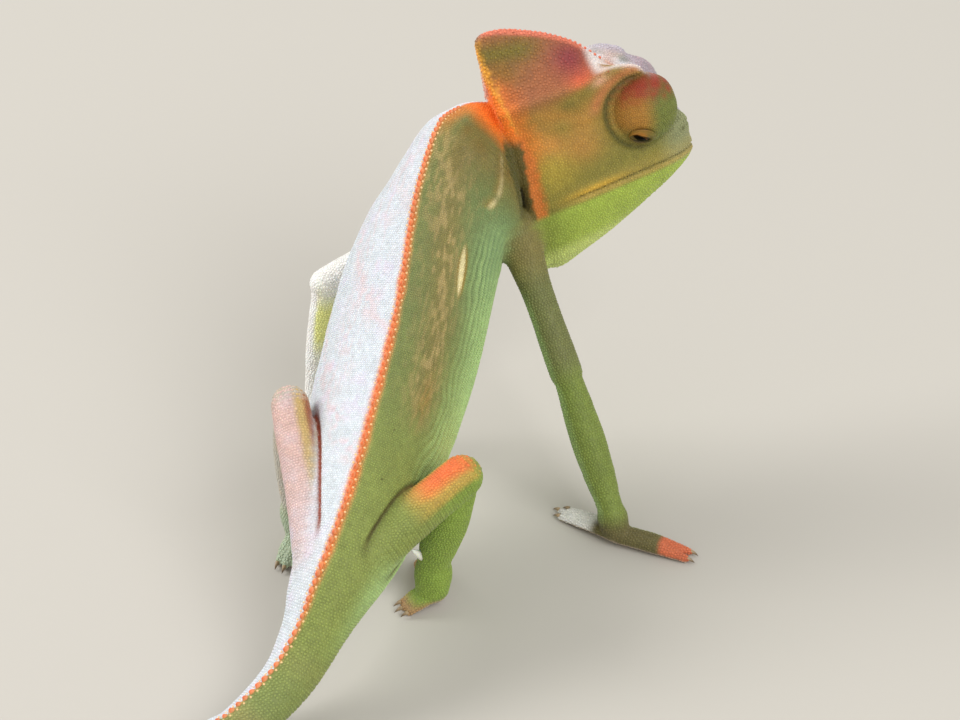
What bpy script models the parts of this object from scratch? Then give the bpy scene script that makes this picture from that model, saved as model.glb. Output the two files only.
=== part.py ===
"""Veiled chameleon (Chamaeleo calyptratus), young male, as a still life-size model.

The animal stands on a flat floor: both hands and both feet are down, the chest is raised on long
arms, the head looks to its right and the tail lies on the floor in a loose curl. The body is one
shape, parted by thin cuts where a person would name its parts: casque, head, lower jaw, eyes, neck,
trunk, the lengths of the tail and, on each leg, upper part, lower part, foot and two toe bundles.

Sizes below are in millimetres on a floor at z = 0, with +Z up, +Y the way the hips face and +X to
the animal's right. The meshes are made in metres, and the whole animal hangs on an empty that puts
the middle of its underside at the world origin.
"""

import math

import bmesh
import bpy
import numpy as np

MM = 0.001                    # metres in a millimetre
GAP = 0.3                     # clear space between neighbouring solids

# ---- spine: one named place after another, from the neck to the root of the tail ----------------
# place: dorsal point (x, y, z), depth from ridge to keel, half width left, half width right,
# and the roll in degrees that swings the belly to the animal's right
SPINE = {
    "skull": ((6.5, 32.4, 59.5), 12.0, 5.4, 5.4, 10.0),
    "nape": ((-0.3, 30.6, 61.4), 15.5, 6.6, 6.6, 11.0),
    "collar": ((-3.8, 26.6, 62.3), 19.0, 8.2, 7.8, 11.0),
    "withers": ((-6.6, 21.8, 61.8), 23.0, 9.8, 9.0, 10.0),
    "chest": ((-9.8, 13.8, 54.0), 27.5, 11.8, 10.2, 6.0),
    "ribs": ((-12.2, 2.7, 43.3), 28.5, 13.0, 11.0, -1.0),
    "belly": ((-15.6, -9.9, 34.1), 26.0, 12.0, 10.4, -4.0),
    "loin": ((-19.5, -23.9, 26.3), 19.5, 9.2, 8.4, -2.0),
    "pelvis": ((-23.8, -33.4, 18.8), 12.8, 6.4, 6.3, 0.0),
    "vent": ((-26.3, -37.9, 13.9), 9.4, 4.8, 4.8, 0.0),
    "tail root": ((-29.8, -42.2, 9.8), 8.0, 4.0, 4.0, 4.0),
    "tail bend": ((-35.2, -47.2, 6.9), 7.1, 3.4, 3.4, 8.0),
}
SKULL_FACING = (0.85, 0.52, 0.0)  # the section under the skull faces this way
RIDGE_POWER = 0.66            # below 1: flanks slope down from the ridge like a roof
KEEL_POWER = 0.56             # rounder towards the belly
TURN_REACH = 0.3              # share of the depth over which the ridge's direction is evened out
TURN_REACH_LEAST = 0.7

# ---- tail: beyond the bend it lies on the floor and curls clockwise, seen from above ------------
TAIL_LENGTH = 94.0            # from the bend to the tip
TAIL_STRAIGHT = 22.0          # how much of that stays nearly straight
TAIL_SWING = 22.0             # degrees the straight stretch turns away from the curl first
TAIL_TIP_DEPTH = 1.5
TAIL_TAPER = 0.9              # below 1: thins a little faster near the bend
TAIL_STEPS = 40               # rows of the curl
TAIL_SLENDER = 0.45           # half width over depth
TAIL_WIDE_TURN = 14.5         # radius of the curl where it starts
TAIL_TIGHT_TURN = 5.0         # radius of the curl at the tip
TAIL_WIND = 0.7               # below 1: the curl tightens early
TAIL_PRESS = 0.25             # how far the underside is pressed flat on the floor

# ---- where the spine is parted, as (node, first place, last place) ------------------------------
TRUNK_PARTS = (
    ("neck", "skull", "collar"),
    ("trunk_front", "collar", "chest"),
    ("trunk_mid", "chest", "belly"),
    ("trunk_rear", "belly", "vent"),
)
TAIL_PARTS = 6
SPINE_SIDES = 18
RING_STEP = 4.2               # distance between rings along the trunk
TAIL_RING_STEP = 3.4

# ---- head: its own axes start at the tip of the snout -------------------------------------------
SNOUT = (33.2, 36.1, 51.0)
HEAD_TURN = 15.0              # degrees from +X towards +Y
HEAD_LIFT = 5.0               # snout raised
HEAD_LEAN = 10.0              # crown leans away to the animal's left
# profiles over the distance behind the snout: (back, value)
CROWN = ((0, 1.6), (2, 5.0), (5, 10.2), (9, 14.2), (12, 16.6), (16, 20.6), (21, 23.4), (28, 25.0))
BROW = ((0, 1.4), (2, 4.8), (5, 10.6), (9, 15.8), (12, 16.6), (18, 15.4), (24, 14.0), (28, 12.6))
BROW_OUT = ((0, 0.9), (2, 2.2), (5, 3.7), (9, 5.0), (13, 6.0), (18, 6.6), (24, 6.0), (28, 4.4))
TEMPLE_OUT = ((0, 1.3), (3, 3.0), (8, 4.0), (13, 5.2), (18, 6.3), (24, 6.2), (28, 4.8))
CHEEK = ((0, 0.8), (4, 3.6), (10, 5.0), (20, 4.0), (28, 3.0))
CHEEK_OUT = ((0, 1.7), (3, 3.3), (8, 4.9), (13, 6.3), (19, 7.6), (24, 7.4), (28, 5.8))
LIP = ((0, 0.0), (10, -0.6), (20, -2.0), (28, -4.2))
LIP_OUT = ((0, 1.6), (3, 3.5), (8, 5.4), (14, 6.8), (20, 7.4), (24, 7.1), (28, 5.6))
JAW_OUT = ((0, 1.2), (3, 2.8), (8, 4.3), (14, 5.4), (20, 6.1), (28, 4.8))
THROAT = ((0, -1.6), (3, -4.2), (8, -7.6), (14, -11.2), (20, -14.2), (25, -16.2), (28, -15.6))
HEAD_LENGTH = 28.0
REAR_SLANT = 0.13             # the rear edge leans back towards the casque's tip
REAR_FOOT = -7.5              # height at which the rear edge starts to lean
CREST_EDGE = 0.75             # half thickness of the casque's upper edge
CREST_BEVEL = 0.3
CREST_HOLLOW = (0.45, 0.38)   # on the casque's side: share of the height, share of the width
JAW_ROUND = ((0.45, 1.0), (0.86, 0.5))  # share of the way down to the throat, share of the width
HEAD_RINGS = 13
HEAD_CROWDING = 1.25          # above 1: rings stand closer together at the snout
BROW_CUT = ((8.0, 17.0), (40.0, 14.5))   # the casque is parted along this line, as (back, up)
MOUTH_CUT = ((-5.0, 0.2), (40.0, -5.4))  # and the lower jaw along this one
CUT_WIDE = 14.0
CUT_THICK = 30.0

# ---- eye turrets --------------------------------------------------------------------------------
TURRET_BACK = 8.2
TURRET_UP = 8.9
TURRET_OUT = 4.3              # centre of the dome, from the middle of the head
TURRET_RADIUS = 5.4
TURRET_BULGE = 4.1            # the dome's reach outwards from its centre
GAZE = (-0.20, -0.58, 0.79)   # forward, up, outward
EYE_RADIUS = 1.7
EYE_INSET = 1.25              # how far the ball's centre lies under the turret's surface
EYE_ROOM = 0.3                # clearance of the ball in its socket

# ---- legs: joint places and radii, from the body outwards ---------------------------------------
# side sign +1 is the animal's right
LEGS = {
    "fore_right": {
        "root": (5.4, 23.8, 42.6), "bend": (13.4, 12.0, 23.6), "wrist": (20.3, 0.7, 5.8),
        "upper": (3.9, 2.5, 2.7), "lower": (2.2, 2.8, 2.1),
        "palm": (21.2, -0.6, 2.6), "palm_radius": 2.5,
        "outer": (32.8, -5.0, 1.7), "inner": (12.8, 6.4, 1.6), "toe_radius": 2.0, "spur": None,
    },
    "fore_left": {
        "root": (-7.4, 28.6, 41.0), "bend": (-24.6, 27.2, 30.2), "wrist": (-26.6, 25.2, 7.8),
        "upper": (3.6, 2.5, 2.5), "lower": (2.1, 2.5, 2.1),
        "palm": (-26.2, 25.8, 3.0), "palm_radius": 2.5,
        "outer": (-28.6, 17.6, 1.7), "inner": (-20.6, 33.4, 1.6), "toe_radius": 2.0, "spur": None,
    },
    "hind_right": {
        "root": (-18.4, -27.0, 16.4), "bend": (-2.8, -16.6, 25.0), "wrist": (-7.0, -15.0, 7.8),
        "upper": (4.2, 3.5, 3.3), "lower": (2.8, 3.4, 2.6),
        "palm": (-7.2, -15.4, 3.2), "palm_radius": 3.0,
        "outer": (-11.6, -17.4, 1.8), "inner": (-8.6, -6.4, 1.6), "toe_radius": 2.2,
        "spur": (-10.8, -15.6, 9.6),
    },
    "hind_left": {
        "root": (-23.4, -26.2, 17.6), "bend": (-28.4, -5.0, 29.6), "wrist": (-28.4, -1.8, 9.2),
        "upper": (4.0, 3.2, 3.0), "lower": (2.6, 3.1, 2.5),
        "palm": (-28.2, -1.0, 3.4), "palm_radius": 2.9,
        "outer": (-30.2, -7.4, 1.8), "inner": (-24.0, 8.0, 1.6), "toe_radius": 2.2,
        "spur": (-26.0, -5.4, 8.0),
    },
}
LIMB_SIDES = 10
LIMB_RINGS = 5                # between the rounded ends
LIMB_END = ((0.78, 0.62), (0.38, 0.92))  # a rounded end: how far out, how wide, in radii
PALM_TAPER = 0.9
TOE_SIDES = 8
TOE_TAPER = (1.05, 1.0, 0.72)
TOE_ROOT = 0.3                # in palm radii, from the palm's middle
TOE_FLAT = 0.85               # height over width
SOLE_PRESS = 0.35             # how far a sole is pressed flat on the floor
CLAWS = 2
CLAW_LENGTH = 1.7
CLAW_RADIUS = 0.45
CLAW_TIP = 0.2                # tip radius over root radius
CLAW_DROP = 0.5               # how far the tip bends down
CLAW_HEIGHT = 1.0
CLAW_ROOT = 0.25              # in toe radii, beyond the toe's last ring
CLAW_SPREAD = 0.9             # in toe radii, between neighbours
CLAW_SIDES = 6
SPUR_RADII = (0.9, 0.7, 0.35) # heel spur of the male, on each hind leg
SPUR_SIDES = 8

SKIN_GREEN = (0.42, 0.52, 0.30)
SKIN_ORANGE = (0.80, 0.34, 0.14)
SKIN_PALE = (0.62, 0.60, 0.52)
EYE_BLACK = (0.02, 0.015, 0.012)


# ---- small helpers ------------------------------------------------------------------------------
def clear_scene():
    for item in list(bpy.data.objects):
        bpy.data.objects.remove(item, do_unlink=True)


def collection(name):
    group = bpy.data.collections.new(name)
    bpy.context.scene.collection.children.link(group)
    return group


def material(name, colour, roughness=0.6):
    made = bpy.data.materials.new(name)
    made.use_nodes = True
    shader = made.node_tree.nodes["Principled BSDF"]
    shader.inputs["Base Color"].default_value = (*colour, 1.0)
    shader.inputs["Roughness"].default_value = roughness
    return made


def unit(vector):
    vector = np.asarray(vector, float)
    return vector / np.linalg.norm(vector)


def smooth_curve(knots, values, where):
    """Cubic through the values that never overshoots them (Fritsch-Carlson slopes)."""
    knots = np.asarray(knots, float)
    values = np.asarray(values, float)
    step = np.diff(knots)
    rise = np.diff(values) / step
    slope = np.zeros_like(values)
    for i in range(1, len(values) - 1):
        if rise[i - 1] * rise[i] > 0:
            w1 = 2 * step[i] + step[i - 1]
            w2 = step[i] + 2 * step[i - 1]
            slope[i] = (w1 + w2) / (w1 / rise[i - 1] + w2 / rise[i])
    slope[0] = rise[0]
    slope[-1] = rise[-1]
    where = np.clip(where, knots[0], knots[-1])
    i = np.clip(np.searchsorted(knots, where) - 1, 0, len(step) - 1)
    t = (where - knots[i]) / step[i]
    h = step[i]
    return (values[i] * (1 + 2 * t) * (1 - t) ** 2 + slope[i] * h * t * (1 - t) ** 2
            + values[i + 1] * t * t * (3 - 2 * t) + slope[i + 1] * h * t * t * (t - 1))


def profile(table, where):
    knots, values = zip(*table)
    return smooth_curve(knots, values, where)


def loft(name, rings, group, paint=None, grow=0.0, floor=True):
    """Closed solid over a row of rings (millimetres), each end closed on its middle.

    grow swells it, for a cutter; floor keeps every point at or above the floor.
    """
    mesh = bpy.data.meshes.new(name)
    solid = bmesh.new()
    rows = [[solid.verts.new(point) for point in ring] for ring in rings]
    count = len(rows[0])
    for lower, upper in zip(rows, rows[1:]):
        for i in range(count):
            j = (i + 1) % count
            solid.faces.new((lower[i], lower[j], upper[j], upper[i]))
    for row in (rows[0], rows[-1]):
        middle = solid.verts.new(np.mean([vert.co for vert in row], axis=0))
        for i in range(count):
            solid.faces.new((row[i], row[(i + 1) % count], middle))
    bmesh.ops.recalc_face_normals(solid, faces=solid.faces)
    solid.normal_update()
    if grow:
        for vert in solid.verts:
            vert.co += vert.normal * grow
    if floor:
        for vert in solid.verts:
            vert.co.z = max(vert.co.z, 0.0)
    bmesh.ops.scale(solid, vec=(MM, MM, MM), verts=solid.verts)
    solid.to_mesh(mesh)
    solid.free()
    mesh.shade_smooth()
    made = bpy.data.objects.new(name, mesh)
    group.objects.link(made)
    if paint:
        mesh.materials.append(paint)
    else:
        made.hide_render = True
        made.display_type = "WIRE"
    return made


def boolean(target, tool, operation="DIFFERENCE"):
    step = target.modifiers.new(tool.name, "BOOLEAN")
    step.operation = operation
    step.object = tool
    step.solver = "EXACT"


# ---- spine --------------------------------------------------------------------------------------
def tail_row():
    """Places along the curl on the floor, as rows like those of SPINE."""
    x_root, y_root, _ = SPINE["tail root"][0]
    x, y, _ = SPINE["tail bend"][0]
    heading = math.atan2(y - y_root, x - x_root)
    depth_here = SPINE["tail bend"][1]
    pace = TAIL_LENGTH / TAIL_STEPS
    swing = math.radians(TAIL_SWING) * pace / TAIL_STRAIGHT
    rows = []
    for i in range(1, TAIL_STEPS + 1):
        part = i / TAIL_STEPS
        x += math.cos(heading) * pace
        y += math.sin(heading) * pace
        if i * pace < TAIL_STRAIGHT:
            heading += swing
        else:
            curled = ((i * pace - TAIL_STRAIGHT) / (TAIL_LENGTH - TAIL_STRAIGHT)) ** TAIL_WIND
            heading -= pace / (TAIL_WIDE_TURN + (TAIL_TIGHT_TURN - TAIL_WIDE_TURN) * curled)
        depth = depth_here + (TAIL_TIP_DEPTH - depth_here) * part ** TAIL_TAPER
        half = depth * TAIL_SLENDER
        rows.append(((x, y, depth - TAIL_PRESS), depth, half, half, 0.0))
    return rows


def catmull(rows, fine):
    """Curve through every row; returns places at equal parameter steps."""
    rows = np.asarray(rows, float)
    padded = np.vstack([2 * rows[0] - rows[1], rows, 2 * rows[-1] - rows[-2]])
    places = np.linspace(0, len(rows) - 1, fine)
    i = np.minimum(places.astype(int), len(rows) - 2)
    t = (places - i)[:, None]
    a, b, c, d = padded[i], padded[i + 1], padded[i + 2], padded[i + 3]
    return 0.5 * (2 * b + (c - a) * t + (2 * a - 5 * b + 4 * c - d) * t ** 2
                  + (3 * b - a - 3 * c + d) * t ** 3)


class Spine:
    """Ridge line with depth, widths and roll, asked for by distance from its front end."""

    def __init__(self):
        flat = [[*place, depth, left, right, roll]
                for place, depth, left, right, roll in [*SPINE.values(), *tail_row()]]
        fine = 3000
        self.rows = catmull(flat, fine)
        steps = np.linalg.norm(np.diff(self.rows[:, :3], axis=0), axis=1)
        self.along = np.concatenate([[0.0], np.cumsum(steps)])
        self.length = self.along[-1]
        knots = np.linspace(0, fine - 1, len(flat))
        self.place = dict(zip(SPINE, np.interp(knots[:len(SPINE)], range(fine), self.along)))

    def at(self, distance):
        return np.array([np.interp(distance, self.along, column) for column in self.rows.T])

    def tangent(self, distance):
        """Direction of the ridge, evened out where the body is deep."""
        reach = max(TURN_REACH_LEAST, TURN_REACH * self.at(distance)[3])
        ahead = self.at(max(distance - reach, 0.0))[:3]
        behind = self.at(min(distance + reach, self.length))[:3]
        return unit(ahead - behind)

    def axes(self, distance):
        """Forward, left and down at this place, as unit vectors."""
        turned = distance / self.place["chest"]
        if turned < 1:
            facing = turned * self.tangent(self.place["chest"])
            forward = unit(facing + (1 - turned) * unit(SKULL_FACING))
        else:
            forward = self.tangent(distance)
        down = np.array([0.0, 0.0, -1.0])
        down = unit(down - forward * forward.dot(down))
        left = np.cross(forward, down)
        roll = math.radians(self.at(distance)[6])
        swung = math.cos(roll) * down - math.sin(roll) * left
        return forward, np.cross(forward, swung), swung

    def ring(self, distance, sides=SPINE_SIDES):
        """Section: a leaf shape, roof-like at the ridge and round at the keel."""
        row = self.at(distance)
        _, left, down = self.axes(distance)
        crown = RIDGE_POWER / (RIDGE_POWER + KEEL_POWER)
        widest = crown ** RIDGE_POWER * (1 - crown) ** KEEL_POWER
        points = []
        for i in range(sides):
            turn = 2 * math.pi * i / sides
            level = (1 - math.cos(turn)) / 2
            out = level ** RIDGE_POWER * (1 - level) ** KEEL_POWER / widest
            half = row[4] if turn < math.pi else row[5]
            side = out * half if turn < math.pi else -out * half
            points.append(row[:3] + down * row[3] * level + left * side)
        return points

    def piece(self, name, start, end, group, paint=None, grow=0.0, step=RING_STEP):
        count = max(2, round((end - start) / step) + 1)
        places = np.linspace(start, end, count)
        return loft(name, [self.ring(place) for place in places], group, paint, grow)


# ---- head ---------------------------------------------------------------------------------------
def head_axes():
    turn, lift, lean = (math.radians(a) for a in (HEAD_TURN, HEAD_LIFT, HEAD_LEAN))
    forward = np.array([math.cos(turn) * math.cos(lift), math.sin(turn) * math.cos(lift),
                        math.sin(lift)])
    upright = np.array([-math.cos(turn) * math.sin(lift), -math.sin(turn) * math.sin(lift),
                        math.cos(lift)])
    right = np.cross(forward, upright)
    up = upright * math.cos(lean) - right * math.sin(lean)
    return forward, up, np.cross(forward, up)


HEAD_FORWARD, HEAD_UP, HEAD_RIGHT = head_axes()


def head_point(back, up, out):
    """A place in the head: behind the snout, above the mouth, to the animal's right."""
    return np.array(SNOUT) - back * HEAD_FORWARD + up * HEAD_UP + out * HEAD_RIGHT


def head_outline(back):
    """Right half of a section from crown to throat, as (up, out)."""
    crown, brow, brow_out = (profile(t, back) for t in (CROWN, BROW, BROW_OUT))
    edge = min(CREST_EDGE, brow_out / 2)
    cheek, cheek_out = profile(CHEEK, back), profile(CHEEK_OUT, back)
    lip, lip_out = profile(LIP, back), profile(LIP_OUT, back)
    jaw_out, throat = profile(JAW_OUT, back), profile(THROAT, back)
    hollow_up, hollow_out = CREST_HOLLOW
    return (
        (crown, 0.0),
        (crown - CREST_BEVEL, edge),
        (brow + (crown - brow) * hollow_up, edge + (brow_out - edge) * hollow_out),
        (brow, brow_out),
        ((brow + cheek) / 2, profile(TEMPLE_OUT, back)),
        (cheek, cheek_out),
        (lip, lip_out),
        *((lip + (throat - lip) * down, jaw_out * share) for down, share in JAW_ROUND),
        (throat, 0.0),
    )


def head_rings():
    rings = []
    for i in range(HEAD_RINGS):
        back = HEAD_LENGTH * (i / (HEAD_RINGS - 1)) ** HEAD_CROWDING
        half = head_outline(back)
        slant = REAR_SLANT * (back / HEAD_LENGTH) ** 2
        right = [head_point(back + slant * (up - REAR_FOOT), up, out) for up, out in half]
        left = [head_point(back + slant * (up - REAR_FOOT), up, -out) for up, out in half[1:-1]]
        rings.append(right + left[::-1])
    return rings


def slab(name, group, line, below, above, longer=0.0):
    """Cutter: a broad slab across the head, below and above a line along it."""
    (back_front, up_front), (back_rear, up_rear) = line
    back_front -= longer
    back_rear += longer
    corners = []
    for out in (-CUT_WIDE, CUT_WIDE):
        corners.append([
            head_point(back_front, up_front - below, out),
            head_point(back_rear, up_rear - below, out),
            head_point(back_rear, up_rear + above, out),
            head_point(back_front, up_front + above, out),
        ])
    return loft(name, corners, group, floor=False)


def dome(name, middle, radius, bulge, group, paint=None, rings=9, sides=16):
    """Ball in the head's axes, with its own reach outwards."""
    rows = []
    for i in range(rings):
        tilt = math.pi * (i + 0.5) / rings
        centre = middle + bulge * math.cos(tilt) * HEAD_RIGHT
        row = [centre + radius * math.sin(tilt)
               * (math.cos(turn) * HEAD_UP + math.sin(turn) * HEAD_FORWARD)
               for turn in (2 * math.pi * j / sides for j in range(sides))]
        rows.append(row)
    return loft(name, rows, group, paint, floor=False)


def eye_place(sign):
    """Middle of the eyeball on one side, just under the turret's surface."""
    forward, up, out = unit(GAZE)
    middle = head_point(TURRET_BACK, TURRET_UP, sign * TURRET_OUT)
    share = 1 - EYE_INSET / TURRET_RADIUS
    return middle + share * (TURRET_RADIUS * (forward * HEAD_FORWARD + up * HEAD_UP)
                             + sign * TURRET_BULGE * out * HEAD_RIGHT)


# ---- legs ---------------------------------------------------------------------------------------
def limb_rings(start, end, radii, sides, flatten=1.0):
    """Rings of a tapering rod with rounded ends; radii are spread evenly along it."""
    start, end = np.array(start, float), np.array(end, float)
    axis = unit(end - start)
    length = np.linalg.norm(end - start)
    helper = np.array([0.0, 0.0, 1.0]) if abs(axis[2]) < 0.8 else np.array([0.0, 1.0, 0.0])
    across = unit(np.cross(helper, axis))
    high = np.cross(axis, across)
    spread = np.linspace(0, 1, len(radii))
    first, last = radii[0], radii[-1]
    stops = [(-out * first, share) for out, share in LIMB_END]
    stops += [(length * part, 1.0) for part in np.linspace(0, 1, LIMB_RINGS)]
    stops += [(length + out * last, share) for out, share in reversed(LIMB_END)]
    rings = []
    for along, share in stops:
        radius = share * smooth_curve(spread, radii, np.clip(along / length, 0, 1))
        middle = start + axis * along
        rings.append([middle + radius * (math.cos(turn) * across + flatten * math.sin(turn) * high)
                      for turn in (2 * math.pi * (j + 0.5) / sides for j in range(sides))])
    return rings


def claw(name, root, direction, group):
    """Curved cone, as rings, to be joined to a toe bundle."""
    down = np.array([0.0, 0.0, -1.0])
    across = unit(np.cross(down, direction))
    rings = []
    for part in (0.0, 0.5, 1.0):
        middle = np.array(root) + direction * CLAW_LENGTH * part + down * CLAW_DROP * part ** 2
        radius = CLAW_RADIUS * (1 + (CLAW_TIP - 1) * part)
        turns = (2 * math.pi * j / CLAW_SIDES for j in range(CLAW_SIDES))
        rings.append([middle + radius * (math.cos(turn) * across - math.sin(turn) * down)
                      for turn in turns])
    return loft(name, rings, group)


def press(rings, depth):
    """Lower a solid's rings so its underside lies flat at floor level."""
    lowest = min(point[2] for ring in rings for point in ring)
    return [[point - np.array([0.0, 0.0, lowest + depth]) for point in ring] for ring in rings]


def leg(name, facts, rooms, model, cutters, paint):
    """Upper part, lower part, palm and two toe bundles, clear of each other and of the rooms."""
    upper_rings = limb_rings(facts["root"], facts["bend"], facts["upper"], LIMB_SIDES)
    lower_rings = limb_rings(facts["bend"], facts["wrist"], facts["lower"], LIMB_SIDES)
    palm_size = facts["palm_radius"]
    palm_radii = (facts["lower"][-1], palm_size, palm_size * PALM_TAPER)
    palm_rings = limb_rings(facts["wrist"], facts["palm"], palm_radii, LIMB_SIDES)

    upper = loft(f"{name}_upper", upper_rings, model, paint)
    upper_room = loft(f"room_{name}_upper", upper_rings, cutters, grow=GAP)
    lower = loft(f"{name}_lower", lower_rings, model, paint)
    boolean(lower, upper_room)
    for room in rooms:
        boolean(upper, room)
        boolean(lower, room)
    lower_room = loft(f"room_{name}_lower", lower_rings, cutters, grow=GAP)
    palm = loft(f"{name}_palm", press(palm_rings, SOLE_PRESS), model, paint)
    boolean(palm, lower_room)
    palm_room = loft(f"room_{name}_palm", press(palm_rings, SOLE_PRESS), cutters, grow=GAP)

    if facts["spur"]:
        heel_rings = limb_rings(facts["wrist"], facts["spur"], SPUR_RADII, SPUR_SIDES)
        boolean(lower, loft(f"heel_{name}", heel_rings, cutters), "UNION")

    for bundle in ("outer", "inner"):
        tip = np.array(facts[bundle])
        root = np.array(facts["palm"])
        root = root + unit(tip - root) * palm_size * TOE_ROOT
        radius = facts["toe_radius"]
        radii = [radius * share for share in TOE_TAPER]
        rings = limb_rings(root, tip, radii, TOE_SIDES, TOE_FLAT)
        toes = loft(f"{name}_toes_{bundle}", press(rings, SOLE_PRESS), model, paint)
        boolean(toes, palm_room)
        boolean(toes, lower_room)
        ahead = unit((tip - root) * np.array([1.0, 1.0, 0.0]))
        aside = np.cross(ahead, (0.0, 0.0, 1.0))
        for i in range(CLAWS):
            shift = (i - (CLAWS - 1) / 2) * radius * CLAW_SPREAD
            spot = tip + ahead * radius * CLAW_ROOT + aside * shift
            spot[2] = CLAW_HEIGHT
            nail = claw(f"claw_{name}_{bundle}_{i}", spot, ahead, cutters)
            boolean(toes, nail, "UNION")


# ---- the animal ---------------------------------------------------------------------------------
def build():
    clear_scene()
    model = collection("chameleon")
    cutters = collection("cutters")
    green = material("skin_green", SKIN_GREEN)
    orange = material("skin_orange", SKIN_ORANGE)
    pale = material("skin_pale", SKIN_PALE)
    black = material("eye_black", EYE_BLACK, 0.15)
    spine = Spine()
    half_gap = GAP / 2

    head_shape = head_rings()
    head_room = loft("room_head", head_shape, cutters, grow=GAP, floor=False)
    for name, first, last in TRUNK_PARTS:
        start, end = spine.place[first] + half_gap, spine.place[last] - half_gap
        made = spine.piece(name, start, end, model, green)
        if name == "neck":
            boolean(made, head_room)

    tail_start = spine.place["vent"]
    length = (spine.length - tail_start) / TAIL_PARTS
    for i in range(TAIL_PARTS):
        start = tail_start + i * length + half_gap
        end = tail_start + (i + 1) * length - half_gap
        spine.piece(f"tail_{i + 1}", start, end, model, green, step=TAIL_RING_STEP)

    casque = loft("casque", head_shape, model, orange, floor=False)
    head = loft("head", head_shape, model, green, floor=False)
    jaw = loft("lower_jaw", head_shape, model, green, floor=False)
    above = slab("above_brow", cutters, BROW_CUT, 0.0, CUT_THICK)
    above_room = slab("room_above_brow", cutters, BROW_CUT, GAP, CUT_THICK + GAP, GAP)
    below = slab("below_mouth", cutters, MOUTH_CUT, CUT_THICK, 0.0)
    below_room = slab("room_below_mouth", cutters, MOUTH_CUT, CUT_THICK + GAP, GAP, GAP)
    boolean(casque, above, "INTERSECT")
    boolean(jaw, below, "INTERSECT")
    boolean(head, above_room)
    boolean(head, below_room)

    for side, sign in (("right", 1), ("left", -1)):
        middle = head_point(TURRET_BACK, TURRET_UP, sign * TURRET_OUT)
        turret = dome(f"eye_turret_{side}", middle, TURRET_RADIUS, TURRET_BULGE, model, green)
        boolean(turret, head_room)
        ball = eye_place(sign)
        room = EYE_RADIUS + EYE_ROOM
        socket = dome(f"socket_{side}", ball, room, room, cutters)
        boolean(turret, socket)
        boolean(head, socket)
        dome(f"eye_{side}", ball, EYE_RADIUS, EYE_RADIUS, model, black, rings=7, sides=12)

    body_room = spine.piece("room_body", spine.place["nape"], spine.place["tail root"],
                            cutters, grow=GAP)
    for name, facts in LEGS.items():
        rooms = (body_room, head_room) if "fore" in name else (body_room,)
        leg(name, facts, rooms, model, cutters, pale if "hind" in name else green)

    stand_on_origin(model)


def stand_on_origin(model):
    """Hang everything on an empty that centres the underside on the world origin."""
    bpy.context.view_layer.update()
    graph = bpy.context.evaluated_depsgraph_get()
    corners = []
    for item in model.objects:
        shape = item.evaluated_get(graph).to_mesh()
        coords = np.empty(len(shape.vertices) * 3)
        shape.vertices.foreach_get("co", coords)
        corners.append(coords.reshape(-1, 3))
    corners = np.vstack(corners)
    low, high = corners.min(axis=0), corners.max(axis=0)
    carrier = bpy.data.objects.new("chameleon_carrier", None)
    model.objects.link(carrier)
    carrier.location = (-(low[0] + high[0]) / 2, -(low[1] + high[1]) / 2, -low[2])
    for item in list(bpy.data.objects):
        if item is not carrier:
            item.parent = carrier
    bpy.context.view_layer.update()


build()
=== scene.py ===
"""The look of the young male veiled chameleon: one skin over the solids, scales, crests, eyes, claws,
heel spurs, and the floor, light and camera.

Sizes are in millimetres in the animal's own frame: floor at z = 0, +Z up, +Y the way the hips face,
+X to the animal's right. The frame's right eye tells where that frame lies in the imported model.
"""
import math

import bpy
import numpy as np
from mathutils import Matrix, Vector, kdtree


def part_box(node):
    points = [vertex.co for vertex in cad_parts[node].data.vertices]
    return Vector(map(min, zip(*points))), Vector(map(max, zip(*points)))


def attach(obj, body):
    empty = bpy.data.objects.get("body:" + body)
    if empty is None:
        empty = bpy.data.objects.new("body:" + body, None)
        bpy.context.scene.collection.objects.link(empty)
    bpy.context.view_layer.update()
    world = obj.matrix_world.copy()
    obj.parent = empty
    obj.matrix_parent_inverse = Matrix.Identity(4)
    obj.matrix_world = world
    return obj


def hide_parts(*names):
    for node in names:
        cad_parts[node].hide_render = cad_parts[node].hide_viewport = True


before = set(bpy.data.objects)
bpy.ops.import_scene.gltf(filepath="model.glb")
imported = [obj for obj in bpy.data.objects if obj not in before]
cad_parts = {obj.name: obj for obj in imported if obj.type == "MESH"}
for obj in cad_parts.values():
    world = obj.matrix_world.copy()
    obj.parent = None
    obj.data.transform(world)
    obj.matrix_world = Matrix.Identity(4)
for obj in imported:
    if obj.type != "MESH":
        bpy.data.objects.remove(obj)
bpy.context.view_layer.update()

MM = 0.001

# ---- body, as in the solids: dorsal point, depth, half left, half right, roll in degrees
SPINE = {
    "skull": ((6.5, 32.4, 59.5), 12.0, 5.4, 5.4, 10.0),
    "nape": ((-0.3, 30.6, 61.4), 15.5, 6.6, 6.6, 11.0),
    "collar": ((-3.8, 26.6, 62.3), 19.0, 8.2, 7.8, 11.0),
    "withers": ((-6.6, 21.8, 61.8), 23.0, 9.8, 9.0, 10.0),
    "chest": ((-9.8, 13.8, 54.0), 27.5, 11.8, 10.2, 6.0),
    "ribs": ((-12.2, 2.7, 43.3), 28.5, 13.0, 11.0, -1.0),
    "belly": ((-15.6, -9.9, 34.1), 26.0, 12.0, 10.4, -4.0),
    "loin": ((-19.5, -23.9, 26.3), 19.5, 9.2, 8.4, -2.0),
    "pelvis": ((-23.8, -33.4, 18.8), 12.8, 6.4, 6.3, 0.0),
    "vent": ((-26.3, -37.9, 13.9), 9.4, 4.8, 4.8, 0.0),
    "tail root": ((-29.8, -42.2, 9.8), 8.0, 4.0, 4.0, 4.0),
    "tail bend": ((-35.2, -47.2, 6.9), 7.1, 3.4, 3.4, 8.0),
}
SKULL_FACING = (0.85, 0.52, 0.0)
RIDGE_POWER = 0.66
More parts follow.
